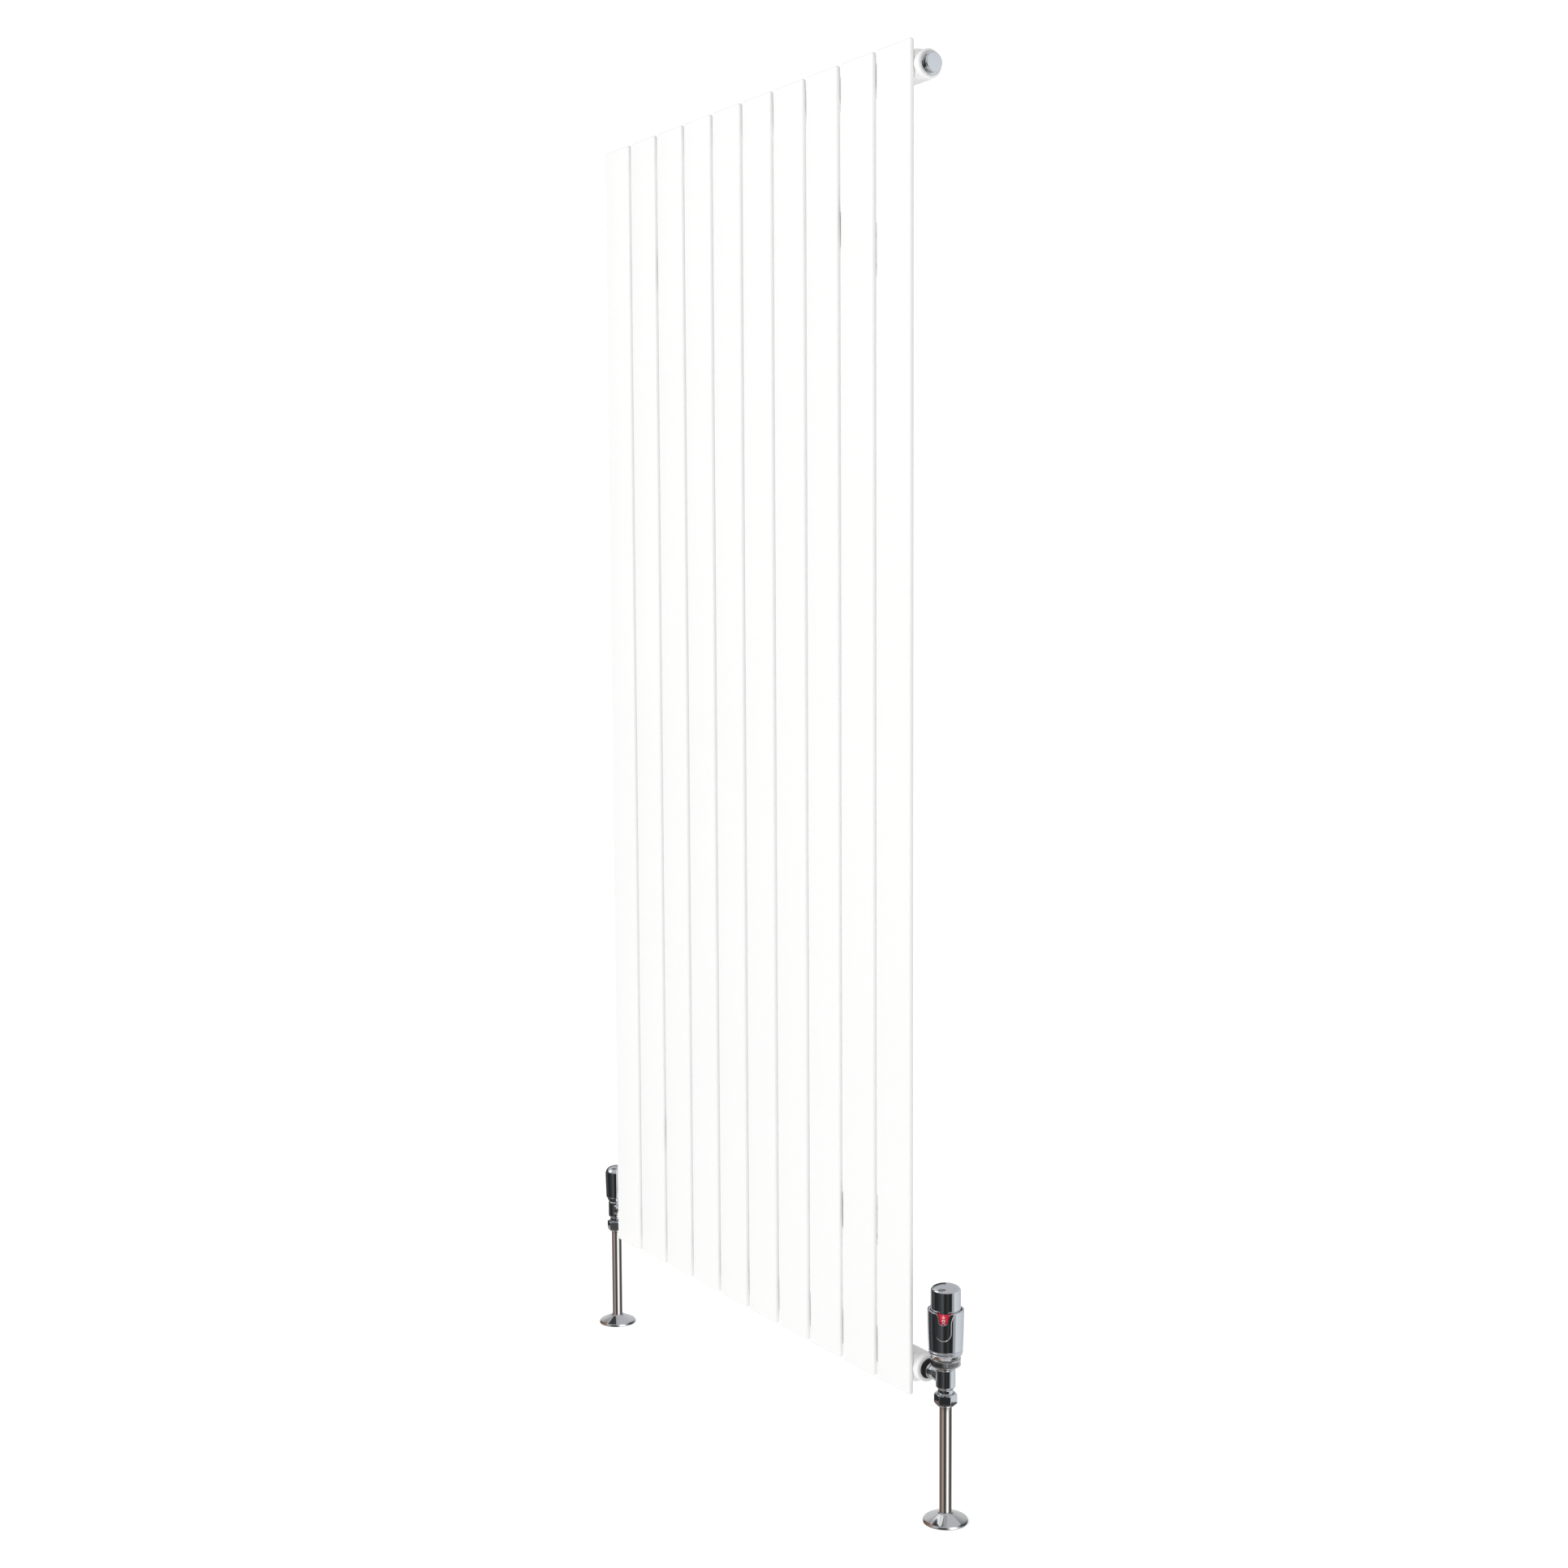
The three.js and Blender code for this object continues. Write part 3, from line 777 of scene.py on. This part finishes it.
def valve_tail(name, side):
    """The threaded tail with its round bead, from the socket to the header's end."""
    at = port(side)
    low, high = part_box(f"{name}_tail")
    far = max(abs(low.x - at.x), abs(high.x - at.x)) / MM
    face = far - 9
    bead = SOCKET_END + (face - SOCKET_END) * BEAD_PLACE
    profile = softened(
        [(5.5, 19.3), (8.6, 19.3, 0.4), (8.6, bead - 2, 0.8), (10.2, bead - 1.2, 0.9),
         (10.2, bead + 1.2, 0.9), (8.8, bead + 2, 0.8), (8.8, face - 1.4, 0.3), (10.2, face + 0.2, 0.2),
         (10.2, far, 0.5), (5.5, far), (5.5, 19.3)],
        6,
    )
    piece(f"{name}_tail_chrome", [turned(profile, at, INWARD[side])], f"{name}_tail")


def compression_nut(name, side):
    """A chamfered hexagon nut with a small round collar under it."""
    at, low, high = stand(f"{name}_compression_nut", side)
    nut = nut_profile(9.9, NUT_FLATS, low + 1.6, high, 26)
    collar = ring_profile(PIPE_HOLE, 10.9, low, low + 3, 0.6)
    surfaces = [
        turned(nut, at, swell=hexagon(NUT_FLATS, low + 1.6, high, NUT_TURN)),
        turned(collar, at),
    ]
    piece(f"{name}_compression_nut_chrome", surfaces, f"{name}_compression_nut", 22)


# ---- Thermostatic head ----

WINDOW_FACES = math.radians(-45)
WINDOW_HALF = 5.6
WINDOW_DEPTH = 13.6
WINDOW_FLARE = 8.0  # height over which the window's sides run out to the rim
WINDOW_LIP = 9.6  # from the window's middle to where the rim is level
KNURL_RADIUS = 17.9
KNURL_DEPTH = 0.35
SHROUD_GRID_RADIUS = 21.5  # radius at which the shroud is unrolled
SHROUD_COLUMNS = 440
TONGUE_HALF = 9.6
TONGUE_LENGTH = 33.0
TONGUE_WIDENS = 4.6
TONGUE_TOP = 13  # height over which the tongue widens
TONGUE_STEP = 0.85
DIAL_INNER = 18.3
DIAL_OUTER = 19.15
DIAL_SETTING = math.radians(56)


def knurled_nut():
    """A ring nut whose middle band has teeth: the radius there gains a rectified cosine of the angle."""
    at, low, high = stand("trv_ring_nut", "right")
    teeth = sizes().knurl_teeth
    rows = np.concatenate([low + np.array([1.9, 2.3, 3.0, 4.2]), high - np.array([3.4, 2.4, 2.0, 1.7])])
    inner = (15.1, low + 3)
    lower = softened([inner, (15.1, low, 0.3), (16.6, low, 0.5), (18.2, low + 1.3, 0.4), (18.2, rows[0])])
    band = np.stack([np.full(len(rows), KNURL_RADIUS), rows], -1)
    upper = softened([(18.2, rows[-1]), (18.2, high - 0.5, 0.5), (17, high, 0.3), (15.1, high, 0.2), inner])

    def teeth_on(radius, height, angle):
        """The new radii: only the band's are changed."""
        inside = np.abs(radius - KNURL_RADIUS) < 0.05
        ease = np.clip(np.minimum(height - rows[0], rows[-1] - height) / 0.6, 0, 1)
        cut = KNURL_DEPTH * ease * np.abs(np.cos(angle * teeth / 2))
        return np.where(inside, radius - cut, radius)

    surface = turned(np.concatenate([lower, band, upper]), at, sides=teeth * 6, swell=teeth_on)
    piece("trv_knurled_nut", [surface], "trv_ring_nut", 40)


def shroud_radius(height):
    """Outer radius of the shroud's turned shape at a height above the port, as a fine profile."""
    _, low, high = stand("trv_shroud", "right")
    corners = [
        (17.2, low, 0), (18.0, low + 1.6, 1.2), (19.0, low + 3.4, 1.0), (19.9, low + 4.6, 0.3),
        (20.35, low + 5.4, 0.3), (19.2, low + 6.5, 0.5), (20.4, low + 7.5, 0.3), (20.55, low + 8.8, 0.3),
        (19.4, low + 9.9, 0.5), (20.6, low + 10.9, 0.4), (21.3, low + 30, 6), (21.95, high + 2, 0),
    ]
    profile = softened(corners, 8)
    return np.interp(height, profile[:, 1], profile[:, 0])


def rim_curve(top, girth):
    """The shroud's top edge, unrolled: (distance round from the window's middle, height), evenly spaced by
    length. It runs along the bottom half circle of the window, up its side, out over a flare that is a
    quarter of an ellipse, and then level round to the back; the other half is its mirror."""
    half, flare, lip = WINDOW_HALF, WINDOW_FLARE, WINDOW_LIP
    turn = np.linspace(-np.pi / 2, 0, 60)
    bowl = np.stack([half * np.cos(turn), top - WINDOW_DEPTH + half + half * np.sin(turn)], -1)
    side = np.stack([np.full(20, half), np.linspace(bowl[-1, 1], top - flare, 20)], -1)
    out = np.linspace(0, np.pi / 2, 40)
    flared = np.stack([lip - (lip - half) * np.cos(out), top - flare + flare * np.sin(out)], -1)
    level = np.stack([np.linspace(lip, girth / 2, 200), np.full(200, top)], -1)
    path = np.concatenate([bowl, side[1:], flared[1:], level[1:]])
    along = np.concatenate([[0], np.cumsum(np.linalg.norm(np.diff(path, axis=0), axis=1))])
    wanted = np.linspace(0, along[-1], SHROUD_COLUMNS // 2 + 1)
    right = np.stack([np.interp(wanted, along, path[:, 0]), np.interp(wanted, along, path[:, 1])], -1)
    left = right[-2:0:-1] * (-1, 1)
    return np.concatenate([right, left])


def shroud():
    """The fixed chrome sleeve with its dial window. Each column of the grid runs from an even place on the
    bottom edge to its own place on the rim curve, and every point takes its radius from the turned shape,
    plus a tongue that stands proud round the window. A half round joins the outer wall to the inner."""
    at, low, high = stand("trv_shroud", "right")
    girth = 2 * np.pi * SHROUD_GRID_RADIUS
    rim = rim_curve(high, girth)
    count = len(rim)
    back = count // 2
    even = np.linspace(0, girth, count, endpoint=False)
    even = np.where(even > girth / 2, even - girth, even)
    even[back] = rim[back, 0] = girth / 2
    tangent = np.roll(rim, -1, 0) - np.roll(rim, 1, 0)
    tangent[[0, back]] = (1, 0)
    outward = np.stack([-tangent[:, 1], tangent[:, 0]], -1)
    outward /= np.linalg.norm(outward, axis=1)[:, None]
    round_by = 0.5
    edge = rim - outward * round_by
    split = low + 12
    lower = np.linspace(low, split, 60)
    share = np.linspace(0, 1, 111)[1:]
    share = 0.45 * share + 0.55 * share * (2 - share)
    start = np.stack([even, np.full(count, split)], -1)
    upper = start + share[:, None, None] * (edge - start)
    foot = np.stack([np.repeat(even[None], len(lower), 0), np.repeat(lower[:, None], count, 1)], -1)
    outer = np.concatenate([foot, upper])
    rounding = np.linspace(0, np.pi, 9)[1:-1, None]
    lip = edge + np.sin(rounding)[..., None] * outward * round_by
    inner = np.concatenate([upper[:-16:-1], upper[-16::-5]])
    inner_foot = foot[::-6]
    outside, around, inside = (
        shroud_radius(part[..., 1]) + tongue(part, high) for part in (outer, lip, inner)
    )
    lip_radius = around - shroud_wall(lip, high) / 2 * (1 - np.cos(rounding))
    foot_radius = np.minimum(shroud_radius(inner_foot[..., 1]) - 1.7, 18.6)
    unrolled = np.concatenate([outer, lip, inner, inner_foot, foot[:1]])
    inside = inside - shroud_wall(inner, high)
    radius = np.concatenate([outside, lip_radius, inside, foot_radius, outside[:1]])
    angle = unrolled[..., 0] / SHROUD_GRID_RADIUS + WINDOW_FACES
    surface = placed(radius * np.cos(angle), radius * np.sin(angle), unrolled[..., 1], at, (0, 0, 1))
    piece("trv_shroud_chrome", [surface], "trv_shroud", 50)


def eased(value):
    """0 below 0, 1 above 1, and 3v^2 - 2v^3 between."""
    value = np.clip(value, 0, 1)
    return value * value * (3 - 2 * value)


def shroud_wall(unrolled, top):
    """Thickness of the shroud: a plain wall, with a lip turned inwards just below the rim except round the
    window, which hides the dial band from above."""
    across, height = np.abs(unrolled[..., 0]), unrolled[..., 1]
    return 1.1 + 2.1 * eased((height - top + 1.4) / 0.4) * eased((across - 10.0) / 2.0)


def tongue(unrolled, top):
    """How far the tongue round the window stands out: full height inside a long U that widens upwards,
    with a smooth step at its edge."""
    across, height = np.abs(unrolled[..., 0]), unrolled[..., 1]
    bowl = top - TONGUE_LENGTH + TONGUE_HALF
    widen = TONGUE_WIDENS * np.clip((height - (top - TONGUE_TOP)) / TONGUE_TOP, 0, 1) ** 2
    beside = across - TONGUE_HALF - widen
    below = np.hypot(across, height - bowl) - TONGUE_HALF
    distance = np.where(height < bowl, below, beside)
    return TONGUE_STEP * eased(0.5 - distance / 0.8)


def handle_cap():
    """The domed handle, hollow below."""
    at, low, high = stand("trv_cap", "right")
    shoulder = high - 5.6
    profile = softened(
        [(16.3, low), (18, low, 0.4), (18, shoulder, 4.6), (14.2, shoulder + 2.9, 3), (8.5, high - 0.9, 5),
         (4, high - 0.1, 3), (0, high)],
        12,
    )
    inside = np.array([(0, high - 6), (12, high - 8.4), (16.3, high - 13), (16.3, low)])
    surface = turned(np.concatenate([profile, inside]), at, sides=160)
    piece("trv_handle_chrome", [surface], "trv_cap", 40)


def plated_insert():
    """The insert, which is plated where it shows between the body and the knurled nut."""
    at, low, high = stand("trv_insert", "right")
    profile = softened(
        [(2.4, low), (8.6, low, 0.3), (8.6, low + 8.4), (14.6, low + 8.35, 0.5), (14.7, low + 14, 0.5),
         (5, low + 15.2, 0.3), (5, high, 0.4), (2.4, high), (2.4, low)]
    )
    piece("trv_insert_plated", [turned(profile, at)], "trv_insert")


def dial_band():
    """The red band behind the window."""
    at, low, high = stand("trv_dial_band", "right")
    profile = ring_profile(DIAL_INNER, DIAL_OUTER, low, high, 0.3)
    piece("trv_dial_red", [turned(profile, at)], "trv_dial_band", 40)


def dial_marks():
    """White marks on the band at each setting: a dot, an hourglass and two chevrons, as flat strips bent
    round the band. Each strip is (left, right) edges given against height, all in millimetres."""
    at, _, high = stand("trv_dial_band", "right")
    foot = high - 12.6
    strips = [
        ([-0.35, -0.6, -0.35], [0.35, 0.6, 0.35], [11.2, 11.6, 12.0]),
        ([-2.0, -0.35, -2.0], [2.0, 0.35, 2.0], [8.2, 9.2, 10.2]),
        ([-2.1, -2.1, -1.0, -0.05], [-1.2, -0.9, 0.0, 0.05], [4.3, 5.2, 6.5, 7.3]),
        ([1.2, 0.9, 0.0, -0.05], [2.1, 2.1, 1.0, 0.05], [4.3, 5.2, 6.5, 7.3]),
        ([-1.8, -1.8, -0.9, -0.05], [-1.0, -0.8, 0.0, 0.05], [0.9, 1.8, 3.0, 3.7]),
        ([1.0, 0.8, 0.0, -0.05], [1.8, 1.8, 0.9, 0.05], [0.9, 1.8, 3.0, 3.7]),
    ]
    surfaces = []
    for setting in range(-3, 3):
        facing = WINDOW_FACES + DIAL_SETTING * setting
        for left, right, height in strips:
            across = np.stack([left, right, right, left], -1)
            radius = DIAL_OUTER + np.array([-0.05, -0.05, 0.07, 0.07]) + 0 * across
            angle = facing + across / (DIAL_OUTER + 0.05)
            up = np.repeat(np.array(height)[:, None], 4, 1) + foot
            wall = placed(radius * np.cos(angle), radius * np.sin(angle), up, at, (0, 0, 1))
            ends = wall[[0, -1]].mean(1, keepdims=True).repeat(4, 1)
            surfaces.append(np.concatenate([ends[:1], wall, ends[1:]]))
    extra_piece("trv_dial_marks", surfaces, white_print(), "trv_handle", 30)


# ---- Lockshield cap, pipes and collars ----


def lockshield_cap():
    """A plain domed push-on cap."""
    at, low, high = stand("lockshield_cap", "left")
    profile = softened(
        [(13.5, low), (14.5, low, 0.3), (14.95, low + 1.2, 0.4), (16, high - 9, 8), (12.2, high - 2.8, 5),
         (5, high - 0.3, 3), (0, high)],
        12,
    )
    inside = np.array([(0, high - 2), (9, high - 4.5), (12.6, high - 9), (13.5, low + 4), (13.5, low)])
    surface = turned(np.concatenate([profile, inside]), at, sides=160)
    piece("lockshield_cap_chrome", [surface], "lockshield_cap", 40)


def pipe(side):
    """A plated tube with lightly broken ends."""
    node = f"pipe_{side}"
    at, low, high = stand(node, side)
    surface = turned(ring_profile(PIPE_BORE, PIPE_RADIUS, low, high, 0.2), at)
    piece(f"{node}_satin", [surface], node)


def floor_collar(side):
    """A spun cone with a rolled rim and a short lip round the pipe."""
    node = f"floor_collar_{side}"
    at, low, high = stand(node, side)
    profile = softened(
        [(PIPE_HOLE, high - 1), (PIPE_HOLE, high, 0.3), (8.8, high, 0.4), (9.8, high - 1.1, 0.8),
         (18, low + 7.4, 6), (26.4, low + 3.4, 1.4), (27.5, low + 1.6, 1.0), (27.3, low, 0.7),
         (26.2, low, 0.3), (25.2, low + 1.6, 0.8), (17.5, low + 6.0, 6), (9, high - 2.4, 0.5),
         (PIPE_HOLE, high - 2.6, 0.3), (PIPE_HOLE, high - 1)],
        8,
    )
    surface = turned(profile, at, sides=160)
    piece(f"{node}_chrome", [surface], node, 40)


# ---- Wall screws ----


def wall_screws(level, side):
    """Two pan-head screws in a wall bracket: a domed head with its recess left as a dimple."""
    low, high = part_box(f"wall_bracket_{level}_{side}")
    head = softened(
        [(0, 0.05), (6, 0.05, 0.3), (6, 1.4, 1.2), (3.4, 2.9, 1.5), (1.5, 2.9, 0.3), (0.5, 1.4, 0.3),
         (0, 1.4)]
    )
    face = high.y - 3 * MM
    places = [((low.x + high.x) / 2, face, low.z + height * MM) for height in (12, 49)]
    surfaces = [turned(head, at, (0, -1, 0), 32) for at in places]
    name = f"wall_screws_{level}_{side}"
    extra_piece(name, surfaces, finish_for("spring_steel"), "radiator")


# ---- Stage ----

CAMERA_X = 2.406
CAMERA_BEFORE = 1.456  # in front of the panels' faces
CAMERA_ABOVE = 0.964  # above the panels' lower ends
FLOOR_HALF = 30.0
TENT_RADIUS = 0.1
TENT_STEPS = 48
TENT_FOOT = -0.045
TENT_BELOW_NUT = {"left": 0.021, "right": 0.030}
SOFT_BOX_WIDTH = 2.4
SOFT_BOX_POWER = 14
SOFT_BOX_PLACE = (-1.6, -3.0, 2.6)
SOFT_BOX_TARGET = (0, 0, 0.9)
EVEN_LIGHT = (0.80, 0.26, 0.36)  # all round, and how much less from +X and from +Y


def camera():
    """The camera, turned by its azimuth, its elevation and then its roll, and set before the panels."""
    settings = bpy.context.scene.radiator_stage
    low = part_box("panel_01")[0]
    data = bpy.data.cameras.new("camera")
    data.lens = settings.lens
    data.sensor_width = 36
    obj = bpy.data.objects.new("camera", data)
    obj.matrix_world = (
        Matrix.Translation((CAMERA_X, low.y - CAMERA_BEFORE, low.z + CAMERA_ABOVE))
        @ Matrix.Rotation(settings.azimuth, 4, "Z")
        @ Matrix.Rotation(math.pi / 2 - settings.elevation, 4, "X")
        @ Matrix.Rotation(settings.roll, 4, "Z")
    )
    bpy.context.scene.collection.objects.link(obj)
    bpy.context.scene.camera = obj


def stage_mesh(name, points, polygons, finish):
    """A mesh of the studio, which isn't part of the radiator."""
    mesh = bpy.data.meshes.new(name)
    mesh.from_pydata(points, [], polygons)
    mesh.materials.append(finish)
    obj = bpy.data.objects.new(name, mesh)
    bpy.context.scene.collection.objects.link(obj)
    return obj


def floor():
    """A wide pale floor."""
    finish = Finish("studio_floor")
    surface = finish.surface(
        Base_Color=(0.9, 0.9, 0.9, 1),
        Roughness=0.9,
        Specular_IOR_Level=0.0,
        Emission_Color=(1, 1, 1, 1),
        Emission_Strength=0.38,
    )
    half = FLOOR_HALF
    corners = [(-half, -half, 0), (half, -half, 0), (half, half, 0), (-half, half, 0)]
    stage_mesh("studio_floor", corners, [(0, 1, 2, 3)], surface).visible_glossy = False


# Bearings and brightness of what polished pieces mirror: dark flags with thin slots of light from behind
# on the left round to the front, then a pale wall on the right.
FLAGS = [
    (-180, 0.05), (-125, 0.03), (-104, 0.09), (-90, 0.02), (-62, 0.03), (-40, 0.055), (-22, 0.1),
    (-12, 0.03), (0, 0.018), (16, 0.05), (28, 0.02), (46, 0.028), (51, 0.4), (62, 0.38), (70, 0.76),
    (96, 0.72), (180, 0.5),
]


def grey(value, tint=(1, 1, 1)):
    """A grey of this brightness, or the same with a tint."""
    return tuple(value * t for t in tint) + (1.0,)


def reflection_tent(side):
    """A narrow upright tube of light round one pipe, which only reflections see: brown and grey on the
    left, a dark slot in front, a bright slot right of it and dark again."""
    at = port(side)
    facing = bpy.context.scene.radiator_stage.flags_facing
    finish = Finish(f"reflection_tent_{side}")
    point = finish.node("ShaderNodeTexCoord", output="Object")
    centred = finish.node("ShaderNodeMapping", None, {"Vector": point, "Location": (-at.x, -at.y, 0)})
    bearing, _ = finish.heading(centred, facing)
    stops = [
        (-180, grey(0.5)), (-140, grey(0.45)), (-118, (0.08, 0.05, 0.035, 1)),
        (-95, (0.2, 0.11, 0.075, 1)), (-70, (0.24, 0.16, 0.13, 1)), (-52, grey(0.36)), (-38, grey(0.3)),
        (-27, grey(0.06)), (2, grey(0.05)), (14, grey(0.28)), (26, grey(1.15)), (46, grey(1.2)),
        (60, grey(0.4)), (77, grey(0.09)), (100, grey(0.04)), (125, grey(0.14)), (145, grey(0.4)),
        (180, grey(0.5)),
    ]
    surface = finish.surface(
        Base_Color=(0, 0, 0, 1),
        Specular_IOR_Level=0.0,
        Emission_Color=finish.ramp(bearing, stops),
        Emission_Strength=1.3,
    )
    steps = TENT_STEPS
    turn = np.linspace(0, 2 * np.pi, steps, endpoint=False)
    ring = np.stack([at.x + TENT_RADIUS * np.cos(turn), at.y + TENT_RADIUS * np.sin(turn)], -1)
    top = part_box("trv_compression_nut")[0].z - TENT_BELOW_NUT[side]
    low = np.column_stack([ring, np.full(steps, TENT_FOOT)])
    high = np.column_stack([ring, np.full(steps, top)])
    quads = [(i, (i + 1) % steps, (i + 1) % steps + steps, i + steps) for i in range(steps)]
    only_mirrored(stage_mesh(f"reflection_tent_{side}", np.concatenate([low, high]), quads, surface))


def only_mirrored(obj):
    """Leaves a stage piece to be seen in reflections and nowhere else."""
    obj.visible_camera = False
    obj.visible_diffuse = False
    obj.visible_shadow = False
    obj.visible_transmission = False


def soft_box():
    """A square of soft light in front, which faces the middle of the radiator."""
    data = bpy.data.lights.new("soft_box_front", "AREA")
    data.size = SOFT_BOX_WIDTH
    data.energy = SOFT_BOX_POWER
    obj = bpy.data.objects.new("soft_box_front", data)
    obj.location = SOFT_BOX_PLACE
    obj.rotation_euler = (Vector(SOFT_BOX_TARGET) - obj.location).to_track_quat("-Z", "Y").to_euler()
    bpy.context.scene.collection.objects.link(obj)


def studio_light():
    """The world: white where the camera looks, an even light that is a little stronger from the front and
    weaker from the right, and for reflections the flags, with a pale ceiling that has one dark panel and
    a pale ground."""
    settings = bpy.context.scene.radiator_stage
    world = bpy.data.worlds.new("studio")
    world.use_nodes = True
    sky = Nodes(world.node_tree)
    direction = sky.node("ShaderNodeTexCoord", output="Generated")
    bearing, (towards, beside, up) = sky.heading(direction, settings.flags_facing)
    flags = sky.ramp(bearing, [(d, grey(v, (0.94, 0.98, 1.03))) for d, v in FLAGS])
    panel = towards * -0.28 + beside * -0.25 + up * 0.93
    ceiling = sky.blend(sky.smooth(panel, 0.955, 0.985), grey(0.52, (0.96, 0.97, 1.02)), grey(0.05))
    mirrored = sky.blend(sky.smooth(up, 0.22, 0.5), flags, ceiling)
    mirrored = sky.blend(sky.smooth(0 - up, 0.5, 0.72), mirrored, grey(0.55))
    x, y = (sky.node("ShaderNodeSeparateXYZ", None, {"Vector": direction}, output=i) for i in range(2))
    even = EVEN_LIGHT[0] - EVEN_LIGHT[1] * x - EVEN_LIGHT[2] * y
    even = sky.node("ShaderNodeCombineColor", None, {0: even, 1: even, 2: even})
    glossy = sky.node("ShaderNodeLightPath", output="Is Glossy Ray")
    seen = sky.node("ShaderNodeLightPath", output="Is Camera Ray")
    colour = sky.blend(seen, sky.blend(glossy, even, mirrored), (1.05, 1.05, 1.05, 1))
    sky.wire(sky.tree.nodes["Background"], {"Color": colour, "Strength": settings.ambient})
    bpy.context.scene.world = world
    soft_box()
    bpy.context.scene.view_settings.view_transform = "Standard"


# ---- Operators ----


class RADIATOR_OT_panels(bpy.types.Operator):
    """Makes the coated flat panels"""

    bl_idname = "radiator.panels"
    bl_label = "Panels"

    def execute(self, context):
        for node in (name for name in frame["nodes"] if name.startswith("panel_")):
            piece(f"{node}_coated", [panel_surface(node)], node, 60)
        return {"FINISHED"}


class RADIATOR_OT_headers(bpy.types.Operator):
    """Makes the headers and their tapped ends"""

    bl_idname = "radiator.headers"
    bl_label = "Headers"

    def execute(self, context):
        for level in LEVELS:
            node = f"header_{level}"
            piece(f"{node}_coated", [header_surface(node)], node)
            for side, way in (("left", -1), ("right", 1)):
                node = f"boss_{level}_{side}"
                piece(f"{node}_coated", [boss_surface(node, way)], node)
        return {"FINISHED"}


class RADIATOR_OT_plugs(bpy.types.Operator):
    """Makes the blanking plug and the vent plug"""

    bl_idname = "radiator.plugs"
    bl_label = "Plugs"

    def execute(self, context):
        blanking_plug()
        vent_plug()
        return {"FINISHED"}


class RADIATOR_OT_valve_bottoms(bpy.types.Operator):
    """Makes the bodies, tails and compression nuts of both valves"""

    bl_idname = "radiator.valve_bottoms"
    bl_label = "Valve bottoms"

    def execute(self, context):
        for name, side in (("trv", "right"), ("lockshield", "left")):
            valve_body(name, side)
            valve_tail(name, side)
            compression_nut(name, side)
        return {"FINISHED"}


class RADIATOR_OT_thermostatic_head(bpy.types.Operator):
    """Makes the head's insert, knurled nut, shroud, handle and dial"""

    bl_idname = "radiator.thermostatic_head"
    bl_label = "Thermostatic head"

    def execute(self, context):
        plated_insert()
        knurled_nut()
        shroud()
        handle_cap()
        dial_band()
        dial_marks()
        return {"FINISHED"}


class RADIATOR_OT_lockshield_cap(bpy.types.Operator):
    """Makes the lockshield valve's domed cap"""

    bl_idname = "radiator.lockshield_cap"
    bl_label = "Lockshield cap"

    def execute(self, context):
        lockshield_cap()
        return {"FINISHED"}


class RADIATOR_OT_pipes(bpy.types.Operator):
    """Makes the pipes and the floor collars"""

    bl_idname = "radiator.pipes"
    bl_label = "Pipes and collars"

    def execute(self, context):
        for side in SIDES:
            pipe(side)
            floor_collar(side)
        return {"FINISHED"}


class RADIATOR_OT_wall_screws(bpy.types.Operator):
    """Makes the screws in the wall brackets"""

    bl_idname = "radiator.wall_screws"
    bl_label = "Wall screws"

    def execute(self, context):
        for level in LEVELS:
            for side in SIDES:
                wall_screws(level, side)
        return {"FINISHED"}


class RADIATOR_OT_finishes(bpy.types.Operator):
    """Gives every CAD node that is still shown the finish of its slot"""

    bl_idname = "radiator.finishes"
    bl_label = "Finishes"

    def execute(self, context):
        for name, node in frame["nodes"].items():
            if not node.hide_render:
                node.data.materials.clear()
                node.data.materials.append(finish_for(slot_of(name)))
        return {"FINISHED"}


class RADIATOR_OT_stage(bpy.types.Operator):
    """Sets the camera, the floor and the light"""

    bl_idname = "radiator.stage"
    bl_label = "Stage"

    def execute(self, context):
        camera()
        floor()
        for side in SIDES:
            reflection_tent(side)
        studio_light()
        return {"FINISHED"}


STEPS = [
    RADIATOR_OT_panels,
    RADIATOR_OT_headers,
    RADIATOR_OT_plugs,
    RADIATOR_OT_valve_bottoms,
    RADIATOR_OT_thermostatic_head,
    RADIATOR_OT_lockshield_cap,
    RADIATOR_OT_pipes,
    RADIATOR_OT_wall_screws,
    RADIATOR_OT_finishes,
    RADIATOR_OT_stage,
]


class RADIATOR_PT_pieces(bpy.types.Panel):
    """Lists the pieces in the 3D view's sidebar."""

    bl_idname = "RADIATOR_PT_pieces"
    bl_label = "Radiator"
    bl_space_type = "VIEW_3D"
    bl_region_type = "UI"
    bl_category = "Radiator"

    def draw(self, context):
        for step in STEPS:
            self.layout.operator(step.bl_idname)


GROUPS = {
    "radiator_sizes": RadiatorSizes,
    "radiator_colours": RadiatorColours,
    "radiator_stage": StageSettings,
}


def register():
    """Adds the settings, the operators and the panel to Blender."""
    for group in GROUPS.values():
        bpy.utils.register_class(group)
    for name, group in GROUPS.items():
        setattr(bpy.types.Scene, name, PointerProperty(type=group))
    for step in STEPS:
        bpy.utils.register_class(step)
    bpy.utils.register_class(RADIATOR_PT_pieces)


def unregister():
    """Takes them away again."""
    bpy.utils.unregister_class(RADIATOR_PT_pieces)
    for step in reversed(STEPS):
        bpy.utils.unregister_class(step)
    for name, group in GROUPS.items():
        delattr(bpy.types.Scene, name)
        bpy.utils.unregister_class(group)


def main():
    """Makes everything in order."""
    register()
    for step in STEPS:
        group, name = step.bl_idname.split(".")
        getattr(getattr(bpy.ops, group), name)()


if __name__ == "__main__":
    main()
